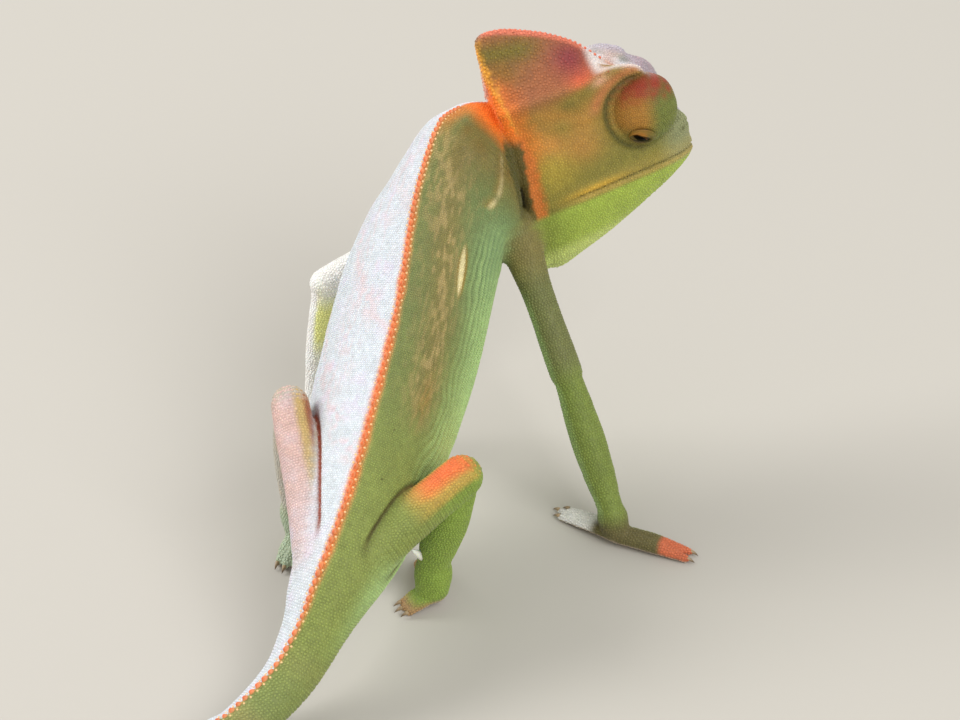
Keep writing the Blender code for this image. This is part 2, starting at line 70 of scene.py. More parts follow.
KEEL_POWER = 0.56
TURN_REACH = 0.3
TURN_REACH_LEAST = 0.7
TAIL_LENGTH = 94.0
TAIL_STRAIGHT = 22.0
TAIL_SWING = 22.0
TAIL_TIP_DEPTH = 1.5
TAIL_TAPER = 0.9
TAIL_STEPS = 40
TAIL_SLENDER = 0.45
TAIL_WIDE_TURN = 14.5
TAIL_TIGHT_TURN = 5.0
TAIL_WIND = 0.7
TAIL_PRESS = 0.25

# ---- head: profiles over the distance behind the snout
SNOUT = (33.2, 36.1, 51.0)
HEAD_TURN = 15.0
HEAD_LIFT = 5.0
HEAD_LEAN = 10.0
CROWN = ((0, 1.6), (2, 5.0), (5, 10.2), (9, 14.2), (12, 16.6), (16, 20.6), (21, 23.4), (25.5, 24.7),
         (27.2, 24.5), (28, 23.4))
BROW = ((0, 1.4), (2, 4.8), (5, 10.6), (9, 15.8), (12, 16.6), (18, 15.4), (24, 14.0), (28, 12.6))
BROW_OUT = ((0, 0.9), (2, 2.2), (5, 3.7), (9, 5.0), (13, 6.0), (18, 6.6), (24, 6.0), (28, 4.4))
TEMPLE_OUT = ((0, 1.3), (3, 3.0), (8, 4.0), (13, 5.2), (18, 6.3), (24, 6.2), (28, 4.8))
CHEEK = ((0, 0.8), (4, 3.6), (10, 5.0), (20, 4.0), (28, 3.0))
CHEEK_OUT = ((0, 1.7), (3, 3.3), (8, 4.9), (13, 6.3), (19, 7.6), (24, 7.4), (28, 5.8))
LIP = ((0, 0.0), (10, -0.6), (20, -2.0), (28, -4.2))
LIP_OUT = ((0, 1.6), (3, 3.5), (8, 5.4), (14, 6.8), (20, 7.4), (24, 7.1), (28, 5.6))
JAW_OUT = ((0, 1.2), (3, 2.8), (8, 4.3), (14, 5.4), (20, 6.1), (28, 4.8))
THROAT = ((0, -1.6), (3, -4.2), (8, -7.6), (14, -11.2), (20, -14.2), (25, -16.2), (28, -15.6))
HEAD_LENGTH = 28.0
REAR_SLANT = 0.13
REAR_FOOT = -7.5
CREST_EDGE = 0.75
CREST_BEVEL = 0.3
CREST_HOLLOW = (0.45, 0.38)
JAW_ROUND = ((0.45, 1.0), (0.86, 0.5))
TURRET_BACK = 8.2
TURRET_UP = 8.9
TURRET_OUT = 4.3
TURRET_RADIUS = 5.4
TURRET_BULGE = 4.1
SOLID_GAZE = (-0.20, -0.58, 0.79)   # forward, up and outward, to the eye of the solids
GAZE = (-0.28, -0.65, 0.71)         # the same, to the eye shown behind its lid
EYE_RADIUS = 1.7
EYE_INSET = 1.25

# ---- legs
LEGS = {
    "fore_right": {
        "root": (5.4, 23.8, 42.6), "bend": (13.4, 12.0, 23.6), "wrist": (20.3, 0.7, 5.8),
        "upper": (3.9, 2.5, 2.7), "lower": (2.2, 2.8, 2.1),
        "palm": (21.2, -0.6, 2.6), "palm_radius": 2.5,
        "outer": (32.8, -5.0, 1.7), "inner": (12.8, 6.4, 1.6), "toe_radius": 2.0, "spur": None,
        "toes": {"outer": 2, "inner": 3},
    },
    "fore_left": {
        "root": (-7.4, 28.6, 41.0), "bend": (-24.6, 27.2, 30.2), "wrist": (-26.6, 25.2, 7.8),
        "upper": (3.6, 2.5, 2.5), "lower": (2.1, 2.5, 2.1),
        "palm": (-26.2, 25.8, 3.0), "palm_radius": 2.5,
        "outer": (-28.6, 17.6, 1.7), "inner": (-20.6, 33.4, 1.6), "toe_radius": 2.0, "spur": None,
        "toes": {"outer": 2, "inner": 3},
    },
    "hind_right": {
        "root": (-18.4, -27.0, 16.4), "bend": (-2.8, -16.6, 25.0), "wrist": (-7.0, -15.0, 7.8),
        "upper": (4.2, 3.5, 3.3), "lower": (2.8, 3.4, 2.6),
        "palm": (-7.2, -15.4, 3.2), "palm_radius": 3.0,
        "outer": (-11.6, -17.4, 1.8), "inner": (-8.6, -6.4, 1.6), "toe_radius": 2.2,
        "spur": (-10.0, -16.8, 10.8),
        "toes": {"outer": 3, "inner": 2},
    },
    "hind_left": {
        "root": (-23.4, -26.2, 17.6), "bend": (-28.4, -5.0, 29.6), "wrist": (-28.4, -1.8, 9.2),
        "upper": (4.0, 3.2, 3.0), "lower": (2.6, 3.1, 2.5),
        "palm": (-28.2, -1.0, 3.4), "palm_radius": 2.9,
        "outer": (-30.2, -7.4, 1.8), "inner": (-24.0, 8.0, 1.6), "toe_radius": 2.2,
        "spur": (-26.0, -5.4, 8.0),
        "toes": {"outer": 3, "inner": 2},
    },
}
PALM_TAPER = 0.9
TOE_TAPER = (1.05, 0.96, 0.60)
TOE_ROOT = 0.3
TOE_SHARE = {2: 0.63, 3: 0.50}                   # radius of a toe, against its bundle of two or three
TOE_FAN = (0.75, 1.25)                           # how far toes part at the root and at the tip
TOE_CURL = 0.10                                  # how much shorter each toe is towards the outside
TOE_BOW = (0.0, 0.0, 0.25)
TOE_RISE, TOE_PRESS = 0.8, 0.6                   # height of the root, and how deep the tip is pressed
SOLE_PRESS = 0.35
CLAW_LENGTH = 1.25
CLAW_RADIUS = 0.33
HORN_ROWS, HORN_SIDES = 9, 14                    # rings and corners of a claw or spur

# ---- skin and scales
SCALE_PIECES = ("scales_trunk", *["scales_head"] * 3, *["scales_arms"] * 2, *["scales_legs"] * 2)
TAIL_START = 105.0            # distance down the ridge where the tail's scales begin
COAT = 0.12                   # the skin lies this far inside the solids, and the scales fill it
VOXEL = 0.29                  # size of the skin's faces
SCALE_SIZES = {"trunk": 0.38, "tail": 0.47, "head": 0.42, "turret": 0.36, "limb": 0.46}
ROW_PITCH = {"trunk": 0.345, "tail": 0.44, "turret": 0.33, "limb": 0.43}
ROW_BAND = 0.10               # how far from its row's middle a scale may lie, as a share of the pitch
TRIES = 26                    # places tried for each scale that finds room
LOOSE_SHARE = 0.25            # of the places tried where there are no rows
NEAREST = 0.86                # least distance between scales, against their size
SCALE_SIDES = 6
SCALE_WIDTH = 0.52            # half width of a scale, against its size
SCALE_RISE = 0.17             # height, against its size
SCALE_SHAPE = ((1.0, -0.45), (0.56, 1.0))
PIECE_SCALES = 9600           # most scales in one piece, which keeps it under 200,000 triangles
SCALE_FLOOR = 0.01            # lowest point of a scale, so that none reaches into the floor
PATCH = 0.0026                # size of a scale's own patch in the OFBake map
PATCH_TAPER = 0.7             # how much smaller the top's patch is than the root's
UNDERSIDE_SIZE = 0.16         # of the root's face, against its patch
UNDERSIDE_SHIFT = 0.62        # how far beside the patch that face lies, in patches
GROUPS = ("body", "head", "turret_right", "turret_left", *LEGS)
BODY, HEAD, FIRST_LEG = 0, 1, 4                  # places in GROUPS
TURRETS = ((2, 1), (3, -1))                      # place in GROUPS, and 1 for right or -1 for left
SIDES = (("right", 1), ("left", -1))

# ---- camera
CAMERA_AIM = (0.0, 0.0, 34.3)
CAMERA_RISE = 35.0            # degrees above level
CAMERA_FAR = 400.0
CAMERA_LENS = 100.0


# ---- small helpers
def unit(vector):
    vector = np.asarray(vector, float)
    return vector / np.linalg.norm(vector, axis=-1, keepdims=True)


def smooth_curve(knots, values, where):
    """Cubic through the values that never overshoots them (Fritsch-Carlson slopes)."""
    knots = np.asarray(knots, float)
    values = np.asarray(values, float)
    step = np.diff(knots)
    rise = np.diff(values) / step
    slope = np.zeros_like(values)
    for i in range(1, len(values) - 1):
        if rise[i - 1] * rise[i] > 0:
            w1 = 2 * step[i] + step[i - 1]
            w2 = step[i] + 2 * step[i - 1]
            slope[i] = (w1 + w2) / (w1 / rise[i - 1] + w2 / rise[i])
    slope[0] = rise[0]
    slope[-1] = rise[-1]
    where = np.clip(where, knots[0], knots[-1])
    i = np.clip(np.searchsorted(knots, where) - 1, 0, len(step) - 1)
    t = (where - knots[i]) / step[i]
    h = step[i]
    return (values[i] * (1 + 2 * t) * (1 - t) ** 2 + slope[i] * h * t * (1 - t) ** 2
            + values[i + 1] * t * t * (3 - 2 * t) + slope[i + 1] * h * t * t * (t - 1))


def profile(table, where):
    knots, values = zip(*table)
    return smooth_curve(knots, values, where)


def soft(x, low, high):
    """0 at low, 1 at high, eased; low may be the larger."""
    t = np.clip((x - low) / (high - low), 0, 1)
    return t * t * (3 - 2 * t)


def hill(x, middle, width):
    return np.exp(-((x - middle) / width) ** 2)


def noise(points, size, seed=0):
    """Smooth value noise between 0 and 1, at grains of the given size."""
    place = np.asarray(points, float) / size
    cell = np.floor(place).astype(np.int64)
    part = place - cell
    part = part * part * (3 - 2 * part)
    total = np.zeros(len(place))
    for corner in range(8):
        step = np.array([corner & 1, corner >> 1 & 1, corner >> 2 & 1])
        key = (cell + step) @ np.array([73856093, 19349663, 83492791]) + seed * 2654435761
        key = (key ^ (key >> 13)) * 1274126177 & 0xFFFFFFFF
        key = (key ^ (key >> 16)) * 2246822519 & 0xFFFFFFFF
        value = (key >> 8 & 0xFFFF) / 0xFFFF
        total += value * np.prod(np.where(step, part, 1 - part), axis=1)
    return total


def turns(sides):
    """Angles of the corners of a ring."""
    return 2 * np.pi * np.arange(sides) / sides


def circle(sides, across, high):
    """Corners of a ring of radius 1 in the plane of two axes."""
    turn = turns(sides)
    return np.cos(turn)[:, None] * across + np.sin(turn)[:, None] * high


def ring_faces(rows, sides):
    """Corners and sizes of the faces over stacked rings, closed at both ends."""
    grid = np.arange(rows * sides).reshape(rows, sides)
    beside = np.roll(grid, -1, axis=1)
    quads = np.stack([grid[:-1], beside[:-1], beside[1:], grid[1:]], axis=-1).reshape(-1)
    corners = np.concatenate([quads, grid[-1], grid[0][::-1]])
    return corners, np.concatenate([np.full((rows - 1) * sides, 4), [sides, sides]])


def tree_of(points, keys=None):
    """Search tree over points, each found by its key, or else by its place in the list."""
    tree = kdtree.KDTree(len(points))
    for key, point in zip(range(len(points)) if keys is None else keys, points):
        tree.insert(point, int(key))
    tree.balance()
    return tree


def mixed(weights, values):
    """Values inside triangles, from those at their three corners."""
    return np.einsum("nk,nk->n" if values.ndim == 2 else "nk,nkd->nd", weights, values)


# ---- spine, as in the solids
def tail_row():
    x_root, y_root, _ = SPINE["tail root"][0]
    x, y, _ = SPINE["tail bend"][0]
    heading = math.atan2(y - y_root, x - x_root)
    depth_here = SPINE["tail bend"][1]
    pace = TAIL_LENGTH / TAIL_STEPS
    swing = math.radians(TAIL_SWING) * pace / TAIL_STRAIGHT
    rows = []
    for i in range(1, TAIL_STEPS + 1):
        part = i / TAIL_STEPS
        x += math.cos(heading) * pace
        y += math.sin(heading) * pace
        if i * pace < TAIL_STRAIGHT:
            heading += swing
        else:
            curled = ((i * pace - TAIL_STRAIGHT) / (TAIL_LENGTH - TAIL_STRAIGHT)) ** TAIL_WIND
            heading -= pace / (TAIL_WIDE_TURN + (TAIL_TIGHT_TURN - TAIL_WIDE_TURN) * curled)
        depth = depth_here + (TAIL_TIP_DEPTH - depth_here) * part ** TAIL_TAPER
        half = depth * TAIL_SLENDER
        rows.append(((x, y, depth - TAIL_PRESS), depth, half, half, 0.0))
    return rows


def catmull(rows, fine):
    rows = np.asarray(rows, float)
    padded = np.vstack([2 * rows[0] - rows[1], rows, 2 * rows[-1] - rows[-2]])
    places = np.linspace(0, len(rows) - 1, fine)
    i = np.minimum(places.astype(int), len(rows) - 2)
    t = (places - i)[:, None]
    a, b, c, d = padded[i], padded[i + 1], padded[i + 2], padded[i + 3]
    return 0.5 * (2 * b + (c - a) * t + (2 * a - 5 * b + 4 * c - d) * t ** 2
                  + (3 * b - a - 3 * c + d) * t ** 3)


class Spine:
    """Ridge line with depth, widths and roll, asked for by distance from its front end."""

    def __init__(self):
        flat = [[*place, depth, left, right, roll]
                for place, depth, left, right, roll in [*SPINE.values(), *tail_row()]]
        fine = 3000
        self.rows = catmull(flat, fine)
        steps = np.linalg.norm(np.diff(self.rows[:, :3], axis=0), axis=1)
        self.along = np.concatenate([[0.0], np.cumsum(steps)])
        self.length = self.along[-1]
        knots = np.linspace(0, fine - 1, len(flat))
        self.place = dict(zip(SPINE, np.interp(knots[:len(SPINE)], range(fine), self.along)))

    def at(self, distance):
        return np.array([np.interp(distance, self.along, column) for column in self.rows.T])

    def tangent(self, distance):
        reach = max(TURN_REACH_LEAST, TURN_REACH * self.at(distance)[3])
        ahead = self.at(max(distance - reach, 0.0))[:3]
        behind = self.at(min(distance + reach, self.length))[:3]
        return unit(ahead - behind)

    def axes(self, distance):
        """Forward, left and down at this place, as unit vectors."""
        turned = distance / self.place["chest"]
        if turned < 1:
            facing = turned * self.tangent(self.place["chest"])
            forward = unit(facing + (1 - turned) * unit(SKULL_FACING))
        else:
            forward = self.tangent(distance)
        down = np.array([0.0, 0.0, -1.0])
        down = unit(down - forward * forward.dot(down))
        left = np.cross(forward, down)
        roll = math.radians(self.at(distance)[6])
        swung = math.cos(roll) * down - math.sin(roll) * left
        return forward, np.cross(forward, swung), swung

    def ring(self, distance, sides, inset):
        """Section from ridge over the left flank to the keel and back up the right flank."""
        row = self.at(distance)
        _, left, down = self.axes(distance)
        crown = RIDGE_POWER / (RIDGE_POWER + KEEL_POWER)
        widest = crown ** RIDGE_POWER * (1 - crown) ** KEEL_POWER
        turn = turns(sides)
        level = (1 - np.cos(turn)) / 2
        out = level ** RIDGE_POWER * (1 - level) ** KEEL_POWER / widest
        half = np.where(turn < np.pi, row[4], -row[5])
        half = half * (1 - inset / max(row[4], row[5]))
        depth = row[3] - 2 * inset
        start = row[:3] + down * inset
        return start + down * (depth * level)[:, None] + left * (out * half)[:, None]


# ---- head, as in the solids
def head_axes():
    turn, lift, lean = (math.radians(a) for a in (HEAD_TURN, HEAD_LIFT, HEAD_LEAN))
    forward = np.array([math.cos(turn) * math.cos(lift), math.sin(turn) * math.cos(lift),
                        math.sin(lift)])
    upright = np.array([-math.cos(turn) * math.sin(lift), -math.sin(turn) * math.sin(lift),
                        math.cos(lift)])
    right = np.cross(forward, upright)
    up = upright * math.cos(lean) - right * math.sin(lean)
    return forward, up, np.cross(forward, up)


HEAD_FORWARD, HEAD_UP, HEAD_RIGHT = head_axes()


def head_point(back, up, out):
    """A place in the head: behind the snout, above the mouth, to the animal's right."""
    return np.array(SNOUT) - back * HEAD_FORWARD + up * HEAD_UP + out * HEAD_RIGHT


def head_coords(points):
    """(back, up, out) of points, with the slant of the rear still in."""
    offset = points - np.array(SNOUT)
    back = -offset @ HEAD_FORWARD
    up = offset @ HEAD_UP
    return back, up, offset @ HEAD_RIGHT


def head_outline(back):
    """Right half of a section from crown to throat, as (up, out)."""
    crown, brow, brow_out = (profile(t, back) for t in (CROWN, BROW, BROW_OUT))
    edge = min(CREST_EDGE, brow_out / 2)
    cheek, cheek_out = profile(CHEEK, back), profile(CHEEK_OUT, back)
    lip, lip_out = profile(LIP, back), profile(LIP_OUT, back)
    jaw_out, throat = profile(JAW_OUT, back), profile(THROAT, back)
    hollow_up, hollow_out = CREST_HOLLOW
    return (
        (crown, 0.0),
        (crown - CREST_BEVEL, edge),
        (brow + (crown - brow) * hollow_up, edge + (brow_out - edge) * hollow_out),
        (brow, brow_out),
        ((brow + cheek) / 2, profile(TEMPLE_OUT, back)),
        (cheek, cheek_out),
        (lip, lip_out),
        *((lip + (throat - lip) * down, jaw_out * share) for down, share in JAW_ROUND),
        (throat, 0.0),
    )


def turret_middle(sign):
    return head_point(TURRET_BACK, TURRET_UP, sign * TURRET_OUT)


def gaze_axis(sign):
    """Way the eye looks, as a unit vector."""
    forward, up, out = unit(GAZE)
    return unit(forward * HEAD_FORWARD + up * HEAD_UP + sign * out * HEAD_RIGHT)


def eye_place(sign, gaze=GAZE):
    forward, up, out = unit(gaze)
    share = 1 - EYE_INSET / TURRET_RADIUS
    return turret_middle(sign) + share * (TURRET_RADIUS * (forward * HEAD_FORWARD + up * HEAD_UP)
                                          + sign * TURRET_BULGE * out * HEAD_RIGHT)


def frame_shift():
    """Metres from the animal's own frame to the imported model, read off the right eye."""
    low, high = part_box("eye_right")
    return np.array((low + high) / 2) - eye_place(1, SOLID_GAZE) * MM


SHIFT = frame_shift()


def to_world(points):
    return np.asarray(points, float) * MM + SHIFT


# ---- forms that overlap, and one skin over them
FAR_OFF = 99.0                # distance given to a group that lies nowhere near
SEARCH_REACH = 3.0            # how far outside a group's box its distance is still worked out


class Clay:
    """Closed forms; every point remembers its group, its piece and its place on that piece."""

    KEPT = ("points", "around", "ahead", "middle", "along", "turn", "girth", "group", "piece")

    def __init__(self):
        self.faces, self.pieces, self.count = [], [], 0
        for name in self.KEPT:
            setattr(self, name, [])

    def keep(self, *rows):
        """Stores one array under each name of KEPT."""
        for name, row in zip(self.KEPT, rows):
            getattr(self, name).append(row)
        self.count += len(rows[0])

    def add(self, rings, group, name, along, ahead, middles=None):
        """rings: rows of points; along: place of each row; ahead: the row's axis, towards its start."""
        rings = np.asarray(rings, float)
        rows, sides, _ = rings.shape
        total = rows * sides
        index = self.count + np.arange(total).reshape(rows, sides)
        beside = np.roll(index, -1, axis=1)
        middles = rings.mean(axis=1) if middles is None else middles
        following = np.roll(rings, -1, axis=1)
        around = unit((following - np.roll(rings, 1, axis=1)).reshape(-1, 3) + 1e-9)
        girth = np.linalg.norm(following - rings, axis=2).sum(axis=1)
        ahead = np.broadcast_to(np.asarray(ahead, float), (rows, 3))
        owner = np.array([[GROUPS.index(group)], [len(self.pieces)]])
        self.pieces.append(name)
        self.keep(rings.reshape(-1, 3), around, np.repeat(ahead, sides, axis=0),
                  np.repeat(middles, sides, axis=0), np.repeat(along, sides),
                  np.tile(np.arange(sides) / sides, rows), np.repeat(girth, sides),
                  *np.repeat(owner, total, axis=1))
        quads = np.stack([index[:-1], beside[:-1], beside[1:], index[1:]], axis=-1)
        self.faces += quads.reshape(-1, 4).tolist()
        for end in (0, -1):
            self.faces += [[a, b, self.count] for a, b in zip(index[end], beside[end])]
            centre = rings[end].mean(axis=0)[None]
            self.keep(centre, around[:1], ahead[:1], centre, np.array([along[end]], float),
                      np.zeros(1), girth[:1], *owner)

    def settle(self):
        for name in self.KEPT:
            setattr(self, name, np.concatenate(getattr(self, name)))

    def reach(self, source, points):
        """Distance down the form at points that lie near its own."""
        offset = points - self.points[source]
        return self.along[source] - np.sum(offset * self.ahead[source], axis=1)

    def round_it(self, source, points):
        """Distance round the form, from its seam."""
        offset = points - self.points[source]
        turned = self.turn[source] * self.girth[source]
        return turned + np.sum(offset * self.around[source], axis=1)


def round_limb(clay, group, name, start, end, radii, sides=28, bow=(0.0, 0.0, 0.0)):
    """Tapering rod with round ends, bowed by a vector at its middle."""
    start, end, bow = np.array(start, float), np.array(end, float), np.array(bow, float)
    axis = unit(end - start)
    length = np.linalg.norm(end - start)
    helper = np.array([0.0, 0.0, 1.0]) if abs(axis[2]) < 0.8 else np.array([0.0, 1.0, 0.0])
    across = unit(np.cross(helper, axis))
    high = np.cross(axis, across)
    spread = np.linspace(0, 1, len(radii))
    cap = np.radians([78, 58, 38, 18])
    along = np.concatenate([-radii[0] * np.sin(cap), np.linspace(0, length, 14),
                            length + radii[-1] * np.sin(cap[::-1])])
    share = np.concatenate([np.cos(cap), np.ones(14), np.cos(cap[::-1])])
    t = np.clip(along / length, 0, 1)
    radius = (smooth_curve(spread, radii, t) - COAT) * share
    middle = start + axis * along[:, None] + bow * np.sin(np.pi * t)[:, None]
    rings = middle[:, None, :] + radius[:, None, None] * circle(sides, across, high)
    clay.add(rings, group, name, along, -axis, middle)


def on_floor(points, lowest=0.0):
    points = np.array(points)
    points[..., 2] = np.maximum(points[..., 2], lowest)
    return points


def add_body(clay, spine):
    """Trunk and tail in one length; it starts inside the head."""
    step = 0.8
    places = np.arange(0.4, spine.length - 0.5, step)
    rings = [spine.ring(place, 72, COAT) for place in places]
    tip = rings[-1].mean(axis=0)
    rings.append(tip + (rings[-1] - tip) * 0.5 - spine.tangent(spine.length) * 0.4)
    places = np.append(places, places[-1] + step / 2)
    ahead = np.array([spine.axes(place)[0] for place in places])
    ridge = np.array([spine.at(place)[:3] for place in places])
    clay.add(on_floor(rings, COAT / 2), "body", "body", places, ahead, ridge)


def add_head(clay):
    """Sections from snout to nape, smoothed round, with a rounded nose."""
    rings = []
    backs = HEAD_LENGTH * np.linspace(0, 1, 64) ** 1.25
    for back in backs:
        half = head_outline(back)
        slant = REAR_SLANT * (back / HEAD_LENGTH) ** 2
        outline = [*half, *((up, -out) for up, out in half[-2:0:-1])]
        closed = np.array([*outline[-2:], *outline, *outline[:2]], float)
        fine = 6 * (len(closed) - 1) + 1
        curve = catmull(closed, fine)[12:-7]
        points = [head_point(back + slant * (up - REAR_FOOT), up, out) for up, out in curve]
        middle = np.mean(points, axis=0)
        spread = np.linalg.norm(np.array(points) - middle, axis=1).mean()
        rings.append(middle + (np.array(points) - middle) * (1 - COAT / spread))
    nose = []
    for out, share in ((0.75, 0.45), (0.55, 0.72), (0.3, 0.9)):
        middle = rings[0].mean(axis=0)
        nose.append(middle + (rings[0] - middle) * share + HEAD_FORWARD * out)
    along = np.concatenate([[-0.75, -0.55, -0.3], backs])
    clay.add(np.array(nose + rings), "head", "head", along, HEAD_FORWARD)


def add_turret(clay, side, sign):
    """Dome that carries the eye."""
    rows = 26
    tilt = np.pi * (np.arange(rows) + 0.5) / rows
    radius, bulge = TURRET_RADIUS - COAT, TURRET_BULGE - COAT
    ring = circle(44, HEAD_UP, HEAD_FORWARD)
    rings = [turret_middle(sign) + sign * bulge * math.cos(a) * HEAD_RIGHT + radius * math.sin(a) * ring
             for a in tilt]
    name = f"turret_{side}"
    clay.add(rings, name, name, tilt * TURRET_RADIUS, sign * HEAD_RIGHT)


def toe_places(facts, bundle):
    """(root, tip, radius) of each toe in a bundle, in the animal's frame."""
    tip, palm, thick = np.array(facts[bundle]), np.array(facts["palm"]), facts["toe_radius"]
    root = palm + unit(tip - palm) * facts["palm_radius"] * TOE_ROOT
    ahead = unit((tip - root) * np.array([1.0, 1.0, 0.0]))
    aside = np.cross(ahead, (0.0, 0.0, 1.0))
    count = facts["toes"][bundle]
    radius = thick * TOE_SHARE[count]
    spread = (thick - radius) * 2 / (count - 1)
    places = []
    for i in range(count):
        step = i - (count - 1) / 2
        curl = 1.0 - TOE_CURL * abs(step)
        end = root + (tip - root) * curl + aside * step * spread * TOE_FAN[1]
        start = root + aside * step * spread * TOE_FAN[0]
        end[2] = radius * TOE_TAPER[-1] - SOLE_PRESS * TOE_PRESS
        start[2] = thick * TOE_RISE
        places.append((start, end, radius, ahead))
    return places


def add_leg(clay, name, facts):
    round_limb(clay, name, f"{name}_upper", facts["root"], facts["bend"], facts["upper"])
    round_limb(clay, name, f"{name}_lower", facts["bend"], facts["wrist"], facts["lower"])
    size = facts["palm_radius"]
    palm_radii = (facts["lower"][-1], size, size * PALM_TAPER)
    round_limb(clay, name, f"{name}_palm", facts["wrist"], facts["palm"], palm_radii)
    for bundle in ("outer", "inner"):
        for i, (start, end, radius, _) in enumerate(toe_places(facts, bundle)):
            radii = [radius * share for share in TOE_TAPER]
            round_limb(clay, name, f"{name}_{bundle}_{i}", start, end, radii, 16, TOE_BOW)


def build_clay(spine):
    clay = Clay()
    add_body(clay, spine)
    add_head(clay)
    for side, sign in SIDES:
        add_turret(clay, side, sign)
    for name, facts in LEGS.items():
        add_leg(clay, name, facts)
    clay.settle()
    return clay


def remesh(clay):
    """One closed surface over all the forms, as (points, quads)."""
    mesh = bpy.data.meshes.new("clay")
    mesh.from_pydata(clay.points.tolist(), [], clay.faces)
    lump = link("clay", mesh)
    step = lump.modifiers.new("skin", "REMESH")
    step.mode = "VOXEL"
    step.voxel_size = VOXEL
    graph = bpy.context.evaluated_depsgraph_get()
    shape = lump.evaluated_get(graph).to_mesh()
    points = np.empty(len(shape.vertices) * 3)
    shape.vertices.foreach_get("co", points)
    quads = np.empty(len(shape.loops), int)
    shape.loops.foreach_get("vertex_index", quads)
    bpy.data.objects.remove(lump)
    return points.reshape(-1, 3), quads.reshape(-1, 4)


class Skin:
    """The surface's points with what each lies on, worked out from the nearest form."""

    def __init__(self, points, quads, clay):
        self.points, self.quads = points, quads
        edges = np.concatenate([quads[:, [i, (i + 1) % 4]] for i in range(4)])
        self.edges = np.unique(np.sort(edges, axis=1), axis=0).T
        a, b = self.edges
        self.valence = np.bincount(a, minlength=len(points)) + np.bincount(b, minlength=len(points))
        self.reach(clay)

    def reach(self, clay):
        """Distance to every group's forms, and the nearest form's point in each group."""
        count = len(self.points)
        self.far = np.full((count, len(GROUPS)), FAR_OFF)
        self.near = np.zeros((count, len(GROUPS)), int)
        for g in range(len(GROUPS)):
            members = np.flatnonzero(clay.group == g)
            spots = clay.points[members]
            tree = tree_of(spots, members)
            low, high = spots.min(axis=0) - SEARCH_REACH, spots.max(axis=0) + SEARCH_REACH
            for i in np.flatnonzero(((self.points > low) & (self.points < high)).all(axis=1)):
                _, self.near[i, g], self.far[i, g] = tree.find(self.points[i])
        self.group = self.far.argmin(axis=1)
        self.source = self.near[np.arange(count), self.group]

    def normals(self):
        a, b, c, d = (self.points[self.quads[:, i]] for i in range(4))
        face = np.cross(c - a, d - b)
        total = np.zeros_like(self.points)
        for axis in range(3):
            for i in range(4):
                total[:, axis] += np.bincount(self.quads[:, i], face[:, axis], len(self.points))
        return unit(total + 1e-12)

    def beside(self, values):
        """Mean of the neighbours' values at each point."""
        a, b = self.edges
        count = len(values)
        return (np.bincount(a, values[b], count) + np.bincount(b, values[a], count)) / self.valence

    def smooth(self, weight, rounds):
        """Draws each point towards its neighbours' middle, by its own weight."""
        for _ in range(rounds):
            for axis in range(3):
                column = self.points[:, axis]
                self.points[:, axis] = column + weight * (self.beside(column) - column)

    def soften(self, values, rounds):
        for _ in range(rounds):
            values = (values + self.beside(values)) / 2
        return values


# ---- places on the animal
class Places:
    """Where points lie: on the body, in the head, on a turret or along a limb."""

    def __init__(self, spine):
        self.spine = spine
        self.knots = np.arange(0, spine.length, 0.5)
        rows = []
        for place in self.knots:
            row = spine.at(place)
            _, left, down = spine.axes(place)
            rows.append([*row[:3], *left, *down, row[3], row[4], row[5]])
        self.table = np.array(rows)

    def body(self, points, clay, source):
        """Distance along the ridge, level (0 ridge, 1 keel) and side (+1 right flank)."""
        along = clay.reach(source, points)
        row = np.array([np.interp(along, self.knots, column) for column in self.table.T]).T
        offset = points - row[:, :3]
        left = np.sum(offset * row[:, 3:6], axis=1)
        level = np.sum(offset * row[:, 6:9], axis=1) / row[:, 9]
        side = -left / np.where(left > 0, row[:, 10], row[:, 11])
        return along, level, side

    def head(self, points):
        back, up, out = head_coords(points)
        return back - REAR_SLANT * (np.clip(back, 0, None) / HEAD_LENGTH) ** 2 * (up - REAR_FOOT), up, out


def turret_coords(points, sign):
    """(forward, up, out) as shares of the dome, and the arc from where the eye looks, in mm."""
    offset = points - turret_middle(sign)
    forward = offset @ HEAD_FORWARD / TURRET_RADIUS
    up = offset @ HEAD_UP / TURRET_RADIUS
    out = sign * (offset @ HEAD_RIGHT) / TURRET_BULGE
    shares = unit(np.stack([forward, up, out], axis=1))
    return forward, up, out, np.arccos(np.clip(shares @ unit(GAZE), -1, 1)) * TURRET_RADIUS


# ---- shaping the skin
NOSTRIL = (1.9, 3.9)          # distances behind the snout and above the mouth
FRINGE = 0.35                 # how quickly one form's share fades into the next
MOUTH_END = 20.5              # corner of the mouth, behind the snout
LID_OPEN = (1.58, 1.24)       # half length and half height of the lid's opening
LID_REACH = 2.1               # radius of the lid where it meets the turret
LID_SHIFT = (0.34, 0.26)      # how far back and down the opening lies from the lid's middle
LID_ARC = 1.15                # from the middle of the gaze to the lid's yellow rim
LID_TUCK = 1.12               # the last ring, turned in under the lid's edge
LID_SWELL = 0.24              # how far the lid bulges between its rims
EYE_SHRINK = 0.14             # how much smaller the ball is than the solid's


def junction(skin, clay):
    """How strongly each point is drawn smooth, where a limb or the head grows from the body."""
    order = np.sort(skin.far, axis=1)
    close = soft(order[:, 1] - order[:, 0], 2.4, 0.3)
    weight = np.zeros(len(skin.points))
    first = {name: i for i, name in enumerate(clay.pieces)}
    for name in LEGS:
        g = GROUPS.index(name)
        near_root = (clay.piece[skin.near[:, g]] == first[f"{name}_upper"])
        near_root = near_root * soft(clay.along[skin.near[:, g]], 11.0, 6.0)
        weight = np.maximum(weight, close * near_root * (skin.far[:, g] < 3))
    weight = np.maximum(weight, 0.6 * close * (skin.far[:, HEAD] < 2) * (skin.far[:, BODY] < 2))
    turret = skin.far[:, HEAD + 1:FIRST_LEG].min(axis=1) < 1.5
    return np.where(turret, 0, weight)


